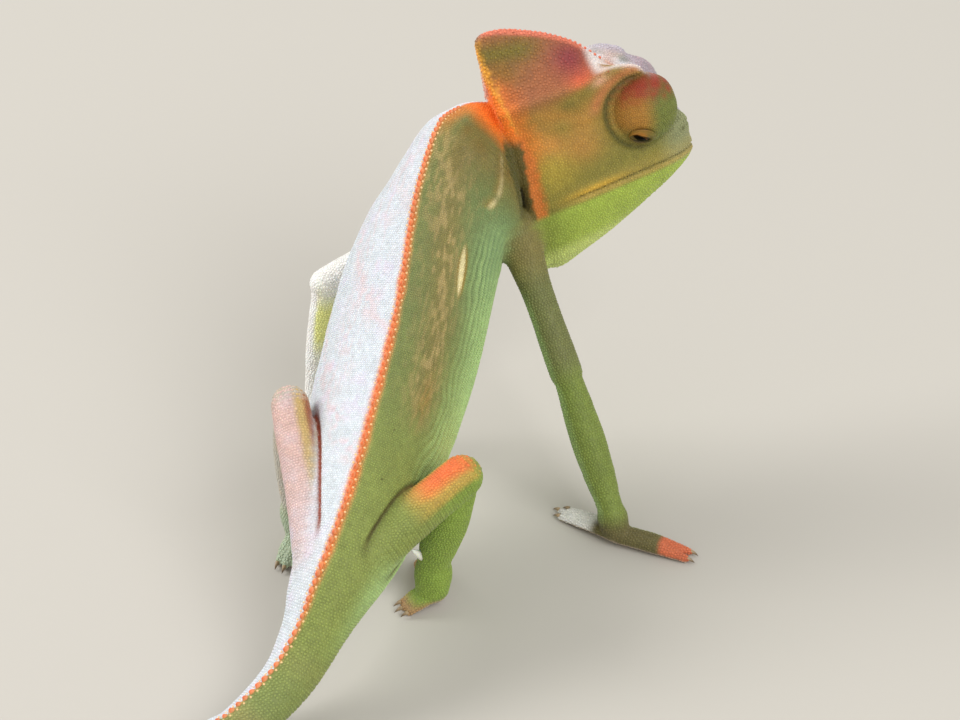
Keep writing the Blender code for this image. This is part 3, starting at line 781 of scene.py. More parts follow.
def flank_folds(along, level, points):
    """Long folds of the lower flank: -0.6 in a crease, 0.4 on a fold."""
    lines = level * 22 + 2.4 * noise(points, 7.0, 1) + 0.7 * noise(points, 2.4, 5) + 0.03 * along
    strength = soft(level, 0.20, 0.34) * soft(level, 1.02, 0.95) * soft(along, 26, 38) * soft(along, 94, 76)
    strength = strength * (0.25 + 0.75 * noise(points, 4.0, 2))
    return (np.abs(np.sin(np.pi * lines)) ** 0.6 - 0.6) * strength


def neck_folds(along, level, points):
    """Wrinkles across the neck and in front of the shoulder."""
    rings = np.abs(np.sin(np.pi * (along / 1.9 + 0.9 * noise(points, 5.0, 1)))) ** 0.6 - 0.6
    return rings * soft(along, 2, 6) * soft(along, 24, 15) * soft(level, 0.15, 0.4)


def body_relief(along, level, points):
    """Folds of the flank, wrinkles of the neck, and the crease behind the head."""
    relief = 0.50 * flank_folds(along, level, points) + 0.30 * neck_folds(along, level, points)
    return relief - 0.5 * hill(along, 8.5, 1.6) * soft(level, 0.2, 0.5)


def root_creases(points):
    """1 in the crease beside each limb, where it leaves the body."""
    creases = {}
    for name, facts in LEGS.items():
        start, end = np.array(facts["root"]), np.array(facts["bend"])
        part = np.clip((points - start) @ (end - start) / ((end - start) @ (end - start)), 0, 1)
        away = np.linalg.norm(points - start - part[:, None] * (end - start), axis=1)
        away = away - smooth_curve((0, 0.5, 1), facts["upper"], part)
        creases[name] = soft(away, 0.0, 0.35) * soft(away, 1.1, 0.5) * soft(part, 0.02, 0.25)
    return creases


def apart(back, up, spot):
    """Distance from a spot (back, up), seen from the side."""
    return np.hypot(back - spot[0], up - spot[1])


def orbit_groove(back, up):
    """1 in the groove round a turret; it is strongest behind and below."""
    orbit = apart(back, up, (TURRET_BACK, TURRET_UP))
    behind = soft(back - TURRET_BACK, -3.0, 2.5)
    return hill(orbit, TURRET_RADIUS + 0.35, 0.5) * (0.35 + 0.65 * behind)


def head_relief(back, up, out):
    """Mouth, nostrils, brow, rear edge and the groove round each turret."""
    above = up - profile(LIP, back)
    mouth = soft(back, -3.0, -2.0) * soft(back, MOUTH_END + 1.0, MOUTH_END - 1.0)
    relief = mouth * (0.12 * hill(above, 0.7, 0.5) + 0.14 * hill(above, -0.75, 0.5)
                      - 0.40 * hill(above, 0.0, 0.20))
    nostril = apart(back, up, NOSTRIL)
    relief += (0.16 * hill(nostril, 0.7, 0.3) - 0.40 * hill(nostril, 0.0, 0.36)) * (np.abs(out) > 0.9)
    relief += 1.05 * hill(back, 1.5, 2.2) * hill(up, 5.0, 2.4)
    relief -= 0.85 * soft(back, 1.2, -0.6) * hill(up, 0.3, 1.6)
    brow_up, brow_out = profile(BROW, back), profile(BROW_OUT, back)
    brow = np.hypot(up - brow_up, np.abs(out) - brow_out)
    relief += hill(brow, 0, 0.9) * soft(back, 1.5, 4.0) * (0.40 + 0.5 * soft(back, 14, 9))
    relief += 0.35 * hill(back, HEAD_LENGTH - 0.7, 0.8)
    relief -= 0.62 * orbit_groove(back, up) * soft(np.abs(out), 1.5, 3.0)
    temple = (up - 10.5) + 0.12 * (back - 14)
    relief += 0.16 * hill(temple, 0, 0.7) * soft(back, 13.5, 16) * soft(back, 27, 24)
    return relief


def turret_relief(up, arc):
    """Room for the eye and its lid, fine rings outside them, and a full crown."""
    relief = -0.9 * soft(arc, LID_REACH - 0.3, LID_REACH - 0.9)
    relief += 0.05 * np.sin(2 * np.pi * arc / 0.85) * soft(arc, 1.9, 2.6) * soft(arc, 7.0, 5.0)
    return relief + 0.45 * soft(up, 0.2, 0.9)


def limb_relief(clay, skin, group, points):
    """Wrinkles where a limb bends."""
    source = skin.near[:, group]
    along = clay.along[source]
    bend = np.isin(clay.piece[source], [i for i, name in enumerate(clay.pieces) if "lower" in name])
    wrinkle = np.sin(2 * np.pi * along / 1.0 + 4 * noise(points, 2.0, 7))
    return 0.05 * wrinkle * bend * (hill(along, 1.5, 2.5) + hill(along, 18, 3.0))


def sculpt(skin, clay, places):
    """Smooths the joins, then moves points along their normals."""
    skin.smooth(junction(skin, clay) * 0.9, 14)
    skin.smooth(0.5, 3)
    points = skin.points.copy()
    relief = 0.10 * (noise(points, 3.0, 3) - 0.5) + 0.05 * (noise(points, 1.1, 4) - 0.5)
    far = skin.far - skin.far.min(axis=1)[:, None]
    share = np.exp(-far / FRINGE) * (far < 2)
    share /= share.sum(axis=1)[:, None]
    for g in (*range(FIRST_LEG, len(GROUPS)), BODY):
        share[:, g] = skin.soften(share[:, g], 10)
    share /= share.sum(axis=1)[:, None]
    along, level, _ = places.body(points, clay, skin.near[:, BODY])
    relief += share[:, BODY] * (body_relief(along, level, points) - 0.40 * sum(root_creases(points).values()))
    back, up, out = places.head(points)
    in_head = np.clip(share[:, HEAD:FIRST_LEG].sum(axis=1), 0, 1)
    relief += in_head * head_relief(back, up, out) * (1 - 0.7 * share[:, HEAD + 1:FIRST_LEG].sum(axis=1))
    for g, sign in TURRETS:
        _, rise, _, arc = turret_coords(points, sign)
        relief += share[:, g] * turret_relief(rise, arc)
    for g in range(FIRST_LEG, len(GROUPS)):
        relief += share[:, g] * limb_relief(clay, skin, g, points)
    skin.points += skin.normals() * relief[:, None]
    skin.smooth(0.35, 1)
    skin.points[:, 2] = np.maximum(skin.points[:, 2], 0.03)
    skin.share = share


# ---- markings, with painted shade and painted light
def srgb(red, green, blue):
    """Colour as seen, 0 to 255, turned into light."""
    value = np.array([red, green, blue]) / 255.0
    return np.where(value <= 0.04045, value / 12.92, ((value + 0.055) / 1.055) ** 2.4)


FLANK = srgb(142, 154, 78)
FLANK_FRONT = srgb(124, 138, 80)
FLANK_WARM = srgb(186, 176, 96)
MINT = srgb(172, 202, 130)
TEAL = srgb(126, 156, 108)
BAND = srgb(178, 158, 102)
BAND_DARK = srgb(144, 126, 70)
RUST = srgb(164, 126, 44)
CREAM = srgb(236, 222, 168)
NECK_ORANGE = srgb(246, 128, 36)
# dark olive: the flank's own dark dots, and painted shade under the head, in the mouth line, the nostrils and
# the groove round each turret
DARK_SPOT_AND_SHADE = srgb(84, 84, 34)
NECK_OLIVE = srgb(128, 106, 46)
RIDGE = srgb(236, 128, 66)
RIDGE_GLOW = srgb(206, 176, 104)
KEEL = srgb(226, 184, 124)
# pale left side: its own paler colouring together with painted light where the key lamp strikes it
PALE_PARTLY_LIT = srgb(222, 228, 236)
LAVENDER = srgb(214, 204, 224)
PINK = srgb(232, 200, 204)
TAIL_GREEN = srgb(136, 148, 84)
CASQUE = srgb(170, 104, 66)
# painted highlight: pink-orange along the lit top edge of the casque
CASQUE_EDGE_LIGHT = srgb(232, 128, 100)
CASQUE_OLIVE = srgb(130, 114, 44)
CASQUE_FRONT = srgb(150, 64, 66)
REAR_GLOW = srgb(250, 176, 60)
FLAP = srgb(224, 126, 54)
TEMPLE = srgb(190, 136, 60)
CHEEK_OLIVE = srgb(138, 130, 56)
CHEEK_YELLOW = srgb(194, 168, 62)
TEMPLE_ORANGE = srgb(218, 146, 66)
OLIVE = srgb(104, 110, 48)
CHIN = srgb(170, 190, 78)
CHIN_PALE = srgb(200, 214, 120)
LIP_EDGE = srgb(190, 164, 84)
MOUTH_YELLOW = srgb(216, 172, 60)
SNOUT_GREY = srgb(152, 156, 112)
# painted light: the top of the head in front of the casque, lit near white
BROW_TOP_LIGHT = srgb(240, 230, 226)
BROW_ORANGE = srgb(206, 128, 80)
BROW_PINK = srgb(234, 176, 142)
# purplish grey standing for painted shade on the far, left side of the head
PURPLE_SHADE = srgb(160, 128, 150)
TURRET_RED = srgb(156, 58, 34)
TURRET_ORANGE = srgb(178, 126, 50)
TURRET_GREEN = srgb(120, 128, 58)
# painted shade on the lid: below its opening, all over, and on its last rings before the opening
LID_SHADE = srgb(84, 80, 44)
LID_SHADOW = np.array([0.66, 0.64, 0.56])
LID_RIM_SHADE = (0.8, 0.5, 0.25, 0.12)                 # painted shade: share of the colour kept on the last rings before the opening
EYE_PUPIL, EYE_GOLD, EYE_DARK = srgb(6, 5, 5), srgb(120, 76, 30), srgb(24, 15, 10)
LID_YELLOW = srgb(234, 156, 62)
ARM = srgb(122, 126, 74)
FOREARM = srgb(128, 144, 66)
HAND = srgb(108, 96, 60)
TOE_ORANGE = srgb(212, 114, 76)
KNEE = srgb(240, 112, 62)
KNEE_YELLOW = srgb(206, 168, 78)
SHANK = srgb(138, 162, 68)
TAN = srgb(176, 140, 96)
INNER_TAN = srgb(206, 176, 116)
INNER_YELLOW = srgb(250, 234, 146)
# painted shadow, warm red, in the crease between the left thigh and the trunk
RED_CREASE_SHADE = srgb(150, 66, 40)
THIGH_PINK = srgb(220, 176, 146)
SPOT_PINK = srgb(214, 168, 170)
WHITE = srgb(246, 243, 240)
SOLE = srgb(200, 180, 156)
SHADE_UNDER_SCALES = 0.86           # painted shade: the skin between the scales is darkened to this share of its colour


def lay(colour, over, weight):
    """Lays a colour over others, by a weight from 0 to 1 at each point."""
    weight = np.atleast_1d(np.clip(weight, 0, 1))[:, None]
    return colour * (1 - weight) + over * weight


# Places of the markings: along is the distance down the ridge in mm, level 0 at the ridge and 1 at
# the keel; back, up and above are distances behind the snout, above its tip and above the lips.
BAND_LEVEL, BAND_FALL, BAND_WIDTH = 0.10, 0.0018, 0.075      # brown band of the flank
DASH_ALONG, DASH_HALF, DASH_LEVEL = 38.8, 3.6, 0.203         # cream dash in it
HOOK_ALONG, HOOK_LEVEL, HOOK_BEND = 19.0, 0.385, 0.0012      # cream hook on the neck
SHADE_LEVEL, SHADE_RISE = 0.36, 0.024                        # top of the painted shade on the neck, below the head
RING_PITCH = 11.0                                            # of the tail's rings
FLANK_PATCHES = (             # colour, strength, then middle and width in along and in level
    (TEAL, 0.8, 35, 9, 0.45, 0.22),
    (FLANK_WARM, 0.6, 64, 7, 0.5, 0.16),
)
CHEEK_PATCHES = (             # the same, in back and up
    (TEMPLE, 0.8, 19, 3.5, 6, 2.4),
    (OLIVE, 0.55, 19.0, 1.8, 13.0, 1.5),
    (CHEEK_OLIVE, 0.65, 20.5, 1.8, 9.5, 1.6),
    (CHEEK_YELLOW, 0.65, 23.5, 3.5, 3.0, 3.6),
    (TEMPLE_ORANGE, 0.6, 22.6, 1.6, 7.2, 1.5),
)
BROW_PATCHES = (              # the same, in back and in the height above the brow
    (BROW_PINK, 0.85, 14.2, 1.2, -0.7, 0.8),
)


class Coat:
    """Colours laid over one another at many points."""

    def __init__(self, base, count):
        self.colour = np.tile(base, (count, 1))

    def lay(self, over, weight):
        self.colour = lay(self.colour, over, weight)

    def patch(self, table, first, second):
        """Soft round patches: colour, strength, and middle and width in two directions."""
        for over, strength, at, wide, level, tall in table:
            self.lay(over, strength * hill(first, at, wide) * hill(second, level, tall))

    def shade(self, light):
        self.colour = self.colour * light[:, None]

    def worn(self, fine, rough):
        """The colours, a little uneven in fine and rough patches."""
        self.shade(0.92 + 0.16 * fine)
        self.shade(0.94 + 0.12 * rough)
        return self.colour


def paint_body(along, level, side, points):
    """Trunk, neck and tail, from ridge to keel."""
    rough, fine = noise(points, 2.2, 11), noise(points, 0.7, 12)
    left = soft(side, 0.01, -0.03)
    grain = noise(np.c_[along * 0.8, level * 125, side], 1.0, 14)
    coat = Coat(FLANK, len(along))
    coat.lay(FLANK_FRONT, soft(along, 80, 40))
    coat.lay(MINT, soft(level, 0.22, 0.52) * soft(along, 24, 38) * soft(along, 104, 84))
    coat.patch(FLANK_PATCHES, along, level)
    folds = flank_folds(along, level, points)
    # painted light and shade on the flank's folds: lighter mint on each crest, darker in each crease
    coat.lay(MINT * 1.2, np.clip(folds, 0, 1) * 1.9)
    coat.shade(1 + 0.65 * np.clip(folds, -1, 0))
    middle = BAND_LEVEL + BAND_FALL * (along - 30)
    band = hill(level, middle, BAND_WIDTH) * soft(along, 14, 23) * soft(along, 66, 58)
    coat.lay(BAND_DARK, band * 0.72)
    coat.lay(BAND, band * soft(grain, 0.42, 0.72))
    speck = soft(grain, 0.55, 0.8) * soft(along, 12, 17) * soft(along, 34, 26) * soft(level, 0.45, 0.3)
    coat.lay(BAND, 0.36 * speck)
    coat.lay(RUST, 0.5 * hill(along, 58.5, 3.4) * hill(level, 0.165, 0.03) * soft(grain, 0.2, 0.6))
    dash = (along - DASH_ALONG) / DASH_HALF
    coat.lay(RUST, 0.7 * soft(np.hypot(dash * 0.9, (level - DASH_LEVEL - 0.004) / 0.030), 1.15, 0.7))
    coat.lay(CREAM, soft(np.hypot(dash, (level - DASH_LEVEL) / 0.016), 1.2, 0.7))
    bent = HOOK_LEVEL - HOOK_BEND * (along - HOOK_ALONG) ** 2
    hook = soft(along, 13.0, 15.0) * soft(along, 28.0, 26.5) * (1 - 0.6 * hill(along, 24.2, 0.8))
    coat.lay(RUST, 0.6 * hook * hill(level - bent, -0.012, 0.035))
    coat.lay(CREAM, 0.75 * hook * hill(level - bent, 0, 0.018) * soft(grain, 0.0, 0.35))
    coat.lay(NECK_OLIVE, 0.85 * soft(along, 28, 17) * soft(level, 0.02, 0.10) * (0.6 + 0.6 * rough))
    # painted shade in the creases of the neck's wrinkles
    coat.shade(1 + 0.5 * np.clip(neck_folds(along, level, points), -1, 0))
    coat.lay(NECK_ORANGE, soft(along, 14, 8) * soft(level, 0.36, 0.20))
    coat.lay(NECK_ORANGE, 0.75 * soft(along, 14, 9) * hill(level, 0.33, 0.06))
    coat.lay(NECK_ORANGE, 0.6 * hill(along, 14, 4) * soft(level, 0.06, 0.01))
    # painted shade: the neck darkens below the head
    shaded = level - SHADE_LEVEL - SHADE_RISE * (along - 10)
    coat.lay(DARK_SPOT_AND_SHADE, 0.95 * soft(shaded, -0.06, 0.02) * soft(along, 27, 20) * soft(along, 4, 7))
    tail = soft(along, 96, 112)
    coat.lay(TAIL_GREEN, tail)
    rings = 0.5 + 0.5 * np.sin(2 * np.pi * along / RING_PITCH)
    coat.lay(BAND, 0.35 * tail * rings ** 3)
    edge = 0.008 + 0.011 * soft(along, 50, 100)
    coat.lay(RIDGE_GLOW, 0.5 * soft(level, edge * 1.9, edge) * soft(along, 16, 26))
    coat.lay(RIDGE, soft(level, edge * 1.5, edge * 0.5) * soft(along, 8, 16))
    # left flank: pale lavender-white with pink streaks, partly its own paler colouring and partly painted
    # light on the side the key lamp strikes
    pale = PALE_PARTLY_LIT + (LAVENDER - PALE_PARTLY_LIT) * (0.6 * soft(rough, 0.4, 0.9) * soft(fine, 0.2, 0.7))[:, None]
    pale = lay(pale, MINT, 0.12 * soft(level, 0.3, 0.9))
    streak = hill((along * 0.14 + level * 9 + 0.8 * rough) % 3.0, 1.5, 0.25) * soft(fine, 0.2, 0.6)
    pale = lay(pale, PINK, 0.5 * streak * soft(along, 20, 40) * soft(along, 95, 80))
    pale = lay(pale, PINK, 0.35 * band * soft(grain, 0.45, 0.7))
    # painted shade in the creases of the folds, on the left flank too
    pale = pale * (1 + 0.22 * np.clip(folds, -1, 0))[:, None]
    pale_tail = 1 - 0.85 * soft(along, 118, 165)
    coat.lay(pale, left * 0.95 * soft(level, edge * 0.35, edge * 1.1) * pale_tail)
    coat.lay(KEEL, soft(level, 0.990, 0.998) * soft(along, 20, 30) * soft(along, 100, 90))
    # dark dots of the flank's own colouring
    dots = soft(noise(points, 0.9, 13), 0.955, 0.975) * soft(along, 55, 62) * soft(along, 95, 90)
    coat.lay(DARK_SPOT_AND_SHADE, 0.8 * dots * (1 - left))
    return coat.worn(fine, rough)


def paint_head(back, up, out, points):
    """Casque, temple, cheek, lips, chin and snout."""
    rough, fine = noise(points, 2.4, 21), noise(points, 0.7, 22)
    brow = profile(BROW, back)
    crown = profile(CROWN, back)
    casque = soft(up - brow, -0.8 - 2.0 * soft(back, 16, 22), 1.2) * soft(back, 11, 14)
    coat = Coat(CHEEK_OLIVE, len(back))
    coat.lay(TEMPLE, hill(back, 20.5, 6.0) * hill(up, 10.5, 4.0) * (0.7 + 0.5 * rough))
    coat.patch(CHEEK_PATCHES, back, up)
    coat.lay(SNOUT_GREY, soft(back, 7.5, 2.5))
    coat.lay(CASQUE, casque)
    coat.lay(KNEE, 0.85 * hill(back, 16.6, 1.7) * hill(up - brow, 0.7, 1.0))
    coat.lay(CASQUE_OLIVE, casque * hill(up, 21.5, 2.0) * soft(back, 18, 23))
    coat.lay(CASQUE_OLIVE, 0.7 * casque * hill(up, 18.5, 1.8) * hill(back, 26.0, 2.4))
    coat.lay(CASQUE_FRONT, casque * hill(back, 17.0, 2.6) * hill(up, 18.8, 2.4))
    # painted highlight along the casque's top edge
    coat.lay(CASQUE_EDGE_LIGHT, soft(crown - up, 0.7, 0.05) * soft(back, 12, 15))
    valley = soft(np.abs(out), 3.2, 2.4) * soft(up - brow, -3.5, -2.0)
    lit_top = np.maximum(soft(up - brow, 0.2, 0.8), valley)
    # painted light: near white over the top of the head and the hollow between the brows, in front of the
    # casque
    coat.lay(BROW_TOP_LIGHT, soft(back, 15.3, 13.6) * lit_top * soft(back, 2, 5))
    orbit = apart(back, up, (TURRET_BACK, TURRET_UP))
    coat.lay(BROW_ORANGE, 0.75 * hill(orbit, 7.4, 1.1) * soft(up, 9.0, 12.0) * soft(up - brow, 1.0, 0.4))
    coat.patch(BROW_PATCHES, back, up - brow)
    rear = back - 27.2 + 1.0 * hill(up, 7.5, 4.5) + 0.7 * (fine - 0.5)
    behind = soft(rear, -0.25, 0.25)
    coat.lay(NECK_ORANGE, 0.65 * soft(rear, -3.8, -0.2) * soft(up, 2, 7) * soft(up, 21, 14))
    flap = 1.2 * soft(up, 8, 2) + 0.2
    coat.lay(FLAP, 0.9 * soft(rear, -flap - 1.0, -flap + 0.2) * soft(up, -7, -4) * soft(up, 12, 8))
    coat.lay(REAR_GLOW, soft(rear, -0.9, 0.1) * soft(up, 8, 12) * (0.75 + 0.25 * rough))
    coat.lay(NECK_ORANGE, behind * soft(up, 7, 10) * soft(up, 19, 15))
    # painted shade: dark behind the head's rear edge, low down, where the neck runs under it
    coat.lay(DARK_SPOT_AND_SHADE, 0.92 * behind * soft(up, 9, 7) * soft(up, -9, -6))
    above = up - profile(LIP, back)
    chin = soft(above, -0.4, -1.6)
    coat.lay(CHIN, chin)
    coat.lay(OLIVE, 0.50 * chin * hill(back, 27, 4))
    coat.lay(CHIN_PALE, 0.95 * soft(above, -6.8, -9.6))
    front = soft(back, MOUTH_END + 3, MOUTH_END - 1)
    coat.lay(LIP_EDGE, 0.35 * soft(above, 3.2, 0.4) * front * (1 - chin))
    coat.lay(LIP_EDGE, 0.6 * hill(above, -0.55, 0.4) * front)
    coat.lay(MOUTH_YELLOW, 0.95 * hill(above, 0.5, 0.7) * hill(back, MOUTH_END - 3, 4.5))
    # painted shade in the mouth line
    coat.lay(DARK_SPOT_AND_SHADE, 0.6 * hill(above, 0.0, 0.2) * front)
    nostril = apart(back, up, NOSTRIL)
    # painted shade in the nostrils
    coat.lay(DARK_SPOT_AND_SHADE, 0.9 * hill(nostril, 0, 0.35) * (np.abs(out) > 0.9))
    # painted shade in the groove round each turret
    coat.lay(DARK_SPOT_AND_SHADE, 0.9 * orbit_groove(back, up) * soft(np.abs(out), 1.5, 3.0))
    top = soft(up - brow, -1.0, 0.0)
    left = np.maximum(soft(out + 0.9 * (rough - 0.5), 0.2, -2.2), top * soft(out, 0.0, -1.2))
    # painted shade: purplish grey on the left brow, seen beyond the forehead
    coat.lay(PURPLE_SHADE, 0.8 * left * soft(up - brow, -0.6, 0.6) * soft(back, 14, 11))
    # left side of the head: pale, partly its own colouring and partly painted light
    coat.lay(PALE_PARTLY_LIT, left * 0.45)
    return coat.worn(fine, rough)


def paint_turret(forward, up, arc, points, sign):
    """Red above, orange behind, green in front, with a yellow lid."""
    fine = noise(points, 0.6, 31)
    coat = Coat(TURRET_ORANGE, len(arc))
    coat.lay(TURRET_GREEN, soft(forward, -0.30, 0.35))
    coat.lay(TURRET_GREEN, 0.6 * soft(up, -0.1, -0.7))
    coat.lay(TURRET_RED, soft(up + 0.3 * (fine - 0.5), 0.16, 0.92))
    rays = 0.5 + 0.5 * np.sin(15 * np.arctan2(up + 0.1, forward + 0.2) + 2.0 * noise(points, 1.5, 32))
    coat.lay(OLIVE, 0.45 * rays ** 2 * soft(forward, -0.1, 0.4) * soft(arc, 2.6, 3.6))
    if sign < 0:
        # painted shade: purplish grey over the left turret
        coat.lay(PURPLE_SHADE, 0.6)
        # left turret: pale, partly its own colouring and partly painted light
        coat.lay(PALE_PARTLY_LIT, 0.3)
    behind = soft(forward, -0.10, -0.34)
    coat.lay(LID_YELLOW, 0.85 * behind * soft(arc, LID_ARC + 1.0, LID_ARC + 0.3))
    coat.shade(0.93 + 0.14 * fine)
    return coat.colour


def limb_place(name, clay, source, points):
    """Distance down the limb from its root, and how far down it bends."""
    root, bend, wrist = (np.array(LEGS[name][part]) for part in ("root", "bend", "wrist"))
    first, second = np.linalg.norm(bend - root), np.linalg.norm(wrist - bend)
    names = np.array(clay.pieces)[clay.piece[source]]
    start = np.where(np.char.endswith(names, "upper"), 0.0,
                     np.where(np.char.endswith(names, "lower"), first, first + second))
    return start + clay.reach(source, points), first


def paint_leg(name, clay, source, points, normals):
    """Arm or leg, by its place down the limb and the way its surface faces."""
    reach, bend = limb_place(name, clay, source, points)
    fine, rough = noise(points, 0.6, 41), noise(points, 2.0, 42)
    high, right = normals[:, 2], normals[:, 0]
    foot = soft(points[:, 2], LEGS[name]["wrist"][2] + 1.0, LEGS[name]["wrist"][2] - 3.0)
    thigh = soft(reach, bend + 1.5, bend - 1.5)
    coat = Coat(FOREARM if "fore" in name else SHANK, len(reach))
    if name == "fore_right":
        coat.lay(ARM, soft(reach, bend + 3, bend - 3))
        coat.lay(BAND_DARK, soft(reach, 11, 4) * 0.6)
        coat.lay(HAND, foot * 0.9)
        tip = np.linalg.norm(points - np.array(LEGS[name]["outer"]), axis=1)
        coat.lay(FOREARM * 1.15, 0.6 * foot * soft(normals[:, 1], 0.2, 0.7))
        coat.lay(TOE_ORANGE, soft(tip, 5.6, 4.6))
        inner = np.linalg.norm(points - np.array(LEGS[name]["inner"]), axis=1)
        coat.lay(WHITE, 0.92 * soft(inner, 8.5, 6.5))
        coat.lay(MINT, 0.7 * (1 - foot) * soft(right, -0.5, -0.95) * soft(reach, 8, 14))
    if name == "hind_right":
        coat.lay(FLANK, soft(reach, bend - 2, bend - 9))
        knee = soft(reach, bend - 11, bend - 5) * soft(reach, bend + 4.0, bend)
        coat.lay(KNEE_YELLOW, 0.9 * knee * soft(high, 0.15, 0.5))
        coat.lay(KNEE, 0.9 * knee * soft(high, 0.62, 0.92) * soft(reach, bend - 11, bend - 3))
        lines = 0.5 + 0.5 * np.sin(2 * np.pi * reach / 0.85 + 3 * rough)
        coat.lay(OLIVE, 0.4 * lines ** 3 * thigh * soft(high, 0.75, 0.3))
        coat.lay(TAN, foot * soft(points[:, 2], 2.4, 0.9))
    if name == "fore_left":
        # left arm: near white, partly its own colouring and partly painted light
        coat.lay(WHITE * 1.06, 0.97 * (1 - foot))
        # painted light: the inner forearm's yellow is brightened past its own colour, against the shade there
        inner = 1.4 * hill(reach, bend + 6.6, 4.2) * soft(right, -0.70, -0.25)
        coat.lay(INNER_YELLOW * 1.25, inner)
    if name == "hind_left":
        # left thigh: pale pink and lavender, partly its own colouring and partly painted light
        beads = PINK + (LAVENDER - PINK) * (0.6 * soft(rough, 0.3, 0.7))[:, None]
        coat.lay(beads * 0.93, 0.9 * thigh + 0.6 * (1 - thigh) * (1 - foot))
        coat.lay(THIGH_PINK, 0.35 * thigh * soft(reach, bend - 20, bend - 10))
        spots = 0.5 + 0.5 * np.sin(2 * np.pi * reach / 1.1) * np.sin(2 * np.pi * points[:, 0] / 1.1)
        coat.lay(SPOT_PINK, 0.5 * thigh * spots ** 2 * soft(reach, bend - 18, bend - 8))
        coat.lay(INNER_TAN, thigh * soft(right, 0.0, 0.4))
        # painted shadow: dark red on the thigh's side next to the trunk
        coat.lay(RED_CREASE_SHADE, 0.85 * thigh * soft(right, 0.50, 0.85))
    # left feet paler, partly its own colouring and partly painted light
    if "left" in name:
        coat.lay(PALE_PARTLY_LIT, 0.4 * foot)
    coat.lay(SOLE, foot * soft(high, -0.3, -0.8))
    return coat.worn(fine, rough)


def paint_skin(skin, clay, places):
    """Colour of every point of the skin, blended where two parts meet."""
    points, normals = skin.points, skin.normals()
    share = skin.share
    colour = np.zeros((len(points), 3))
    for g, name in enumerate(GROUPS):
        here = np.flatnonzero(share[:, g] > 0.01)
        spot, source = points[here], skin.near[here, g]
        if name == "body":
            made = paint_body(*places.body(spot, clay, source), spot)
        elif name == "head":
            made = paint_head(*places.head(spot), spot)
        elif name.startswith("turret"):
            sign = 1 if name.endswith("right") else -1
            forward, up, _, arc = turret_coords(spot, sign)
            made = paint_turret(forward, up, arc, spot, sign)
            # painted shade: the turret's skin darkens under the lid's edge
            made = made * (1 - 0.93 * soft(arc, LID_REACH - 0.1, LID_REACH - 0.4))[:, None]
        else:
            made = paint_leg(name, clay, source, spot, normals[here])
        colour[here] += made * share[here, g][:, None]
    creases = root_creases(points)
    shadow = (sum(creases.values()) + 0.8 * creases["hind_right"]) * share[:, BODY]
    colour = colour * (1 - np.array([0.46, 0.52, 0.56]) * shadow[:, None])
    # painted shadow: warm red in the crease where the left thigh leaves the body
    red = 1.8 * creases["hind_left"] * share[:, BODY] * soft(points[:, 2], 12.0, 18.0)
    colour = lay(colour, RED_CREASE_SHADE, red)
    return np.clip(colour, 0.004, 0.95)


# ---- meshes
def link(name, data):
    """New object in the scene, from its data."""
    made = bpy.data.objects.new(name, data)
    bpy.context.scene.collection.objects.link(made)
    return made


def new_piece(name, points, faces, tints, paint, uvs=None):
    """Mesh object from points, (corners, sizes) of its faces, and a colour for each point."""
    corners, sizes = faces
    mesh = bpy.data.meshes.new(name)
    mesh.vertices.add(len(points))
    mesh.vertices.foreach_set("co", to_world(points).ravel())
    mesh.loops.add(len(corners))
    mesh.loops.foreach_set("vertex_index", corners)
    mesh.polygons.add(len(sizes))
    mesh.polygons.foreach_set("loop_start", np.concatenate([[0], np.cumsum(sizes)[:-1]]))
    mesh.polygons.foreach_set("loop_total", sizes)
    mesh.update(calc_edges=True)
    mesh.validate()
    mesh.shade_smooth()
    layer = mesh.color_attributes.new("tint", "FLOAT_COLOR", "POINT")
    layer.data.foreach_set("color", np.c_[tints, np.ones(len(tints))].ravel())
    if uvs is not None:
        mesh.uv_layers.new(name="OFBake").data.foreach_set("uv", uvs.ravel())
    mesh.materials.append(MATERIALS[paint])
    piece = link(name, mesh)
    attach(piece, "root")
    return piece


def studs(name, stand, size, tints, shape, paint, patches, sides=SCALE_SIDES, longer=1.0):
    """Many small closed forms in one mesh: scales, cones or beads.

    stand: roots, and the upward and lengthwise axes; size: half width and height; tints: at the
    root and at the tip; shape: rings from root to top as (share of the width, share of the
    height); patches: each form's place in the OFBake map; longer: length over width.
    """
    roots, up, along = stand
    wide, tall = size
    base, tip = tints
    count, rows = len(roots), len(shape)
    across = unit(np.cross(up, along))
    along = np.cross(across, up)
    turn = turns(sides)
    rings, shades = [], []
    for share, height in shape:
        disc = (longer * np.cos(turn)[None, :, None] * along[:, None, :]
                + np.sin(turn)[None, :, None] * across[:, None, :])
        ring = roots[:, None, :] + disc * (wide * share)[:, None, None]
        rings.append(ring + (up * (tall * height)[:, None])[:, None, :])
        part = np.clip(height, 0, 1)
        shades.append(np.repeat((base * (1 - part) + tip * part)[:, None, :], sides, axis=1))
    points = np.maximum(np.stack(rings, axis=1), [-1e9, -1e9, SCALE_FLOOR])
    corners, sizes = ring_faces(rows, sides)
    step = np.arange(count)[:, None] * rows * sides
    radius = PATCH / 2 * (1 - PATCH_TAPER * np.repeat(np.arange(rows), sides) / (rows - 1))
    flat = np.c_[np.tile(np.cos(turn), rows), np.tile(np.sin(turn), rows)] * radius[:, None]
    under = flat[:sides][::-1] * UNDERSIDE_SIZE + [UNDERSIDE_SHIFT * PATCH, 0]
    patch = np.concatenate([flat[corners[:-sides]], under])
    uvs = patches[:, None, :] + patch[None]
    faces = (corners[None] + step).ravel(), np.tile(sizes, count)
    shades = np.stack(shades, axis=1).reshape(-1, 3)
    return new_piece(name, points.reshape(-1, 3), faces, shades, paint, uvs.reshape(-1, 2))


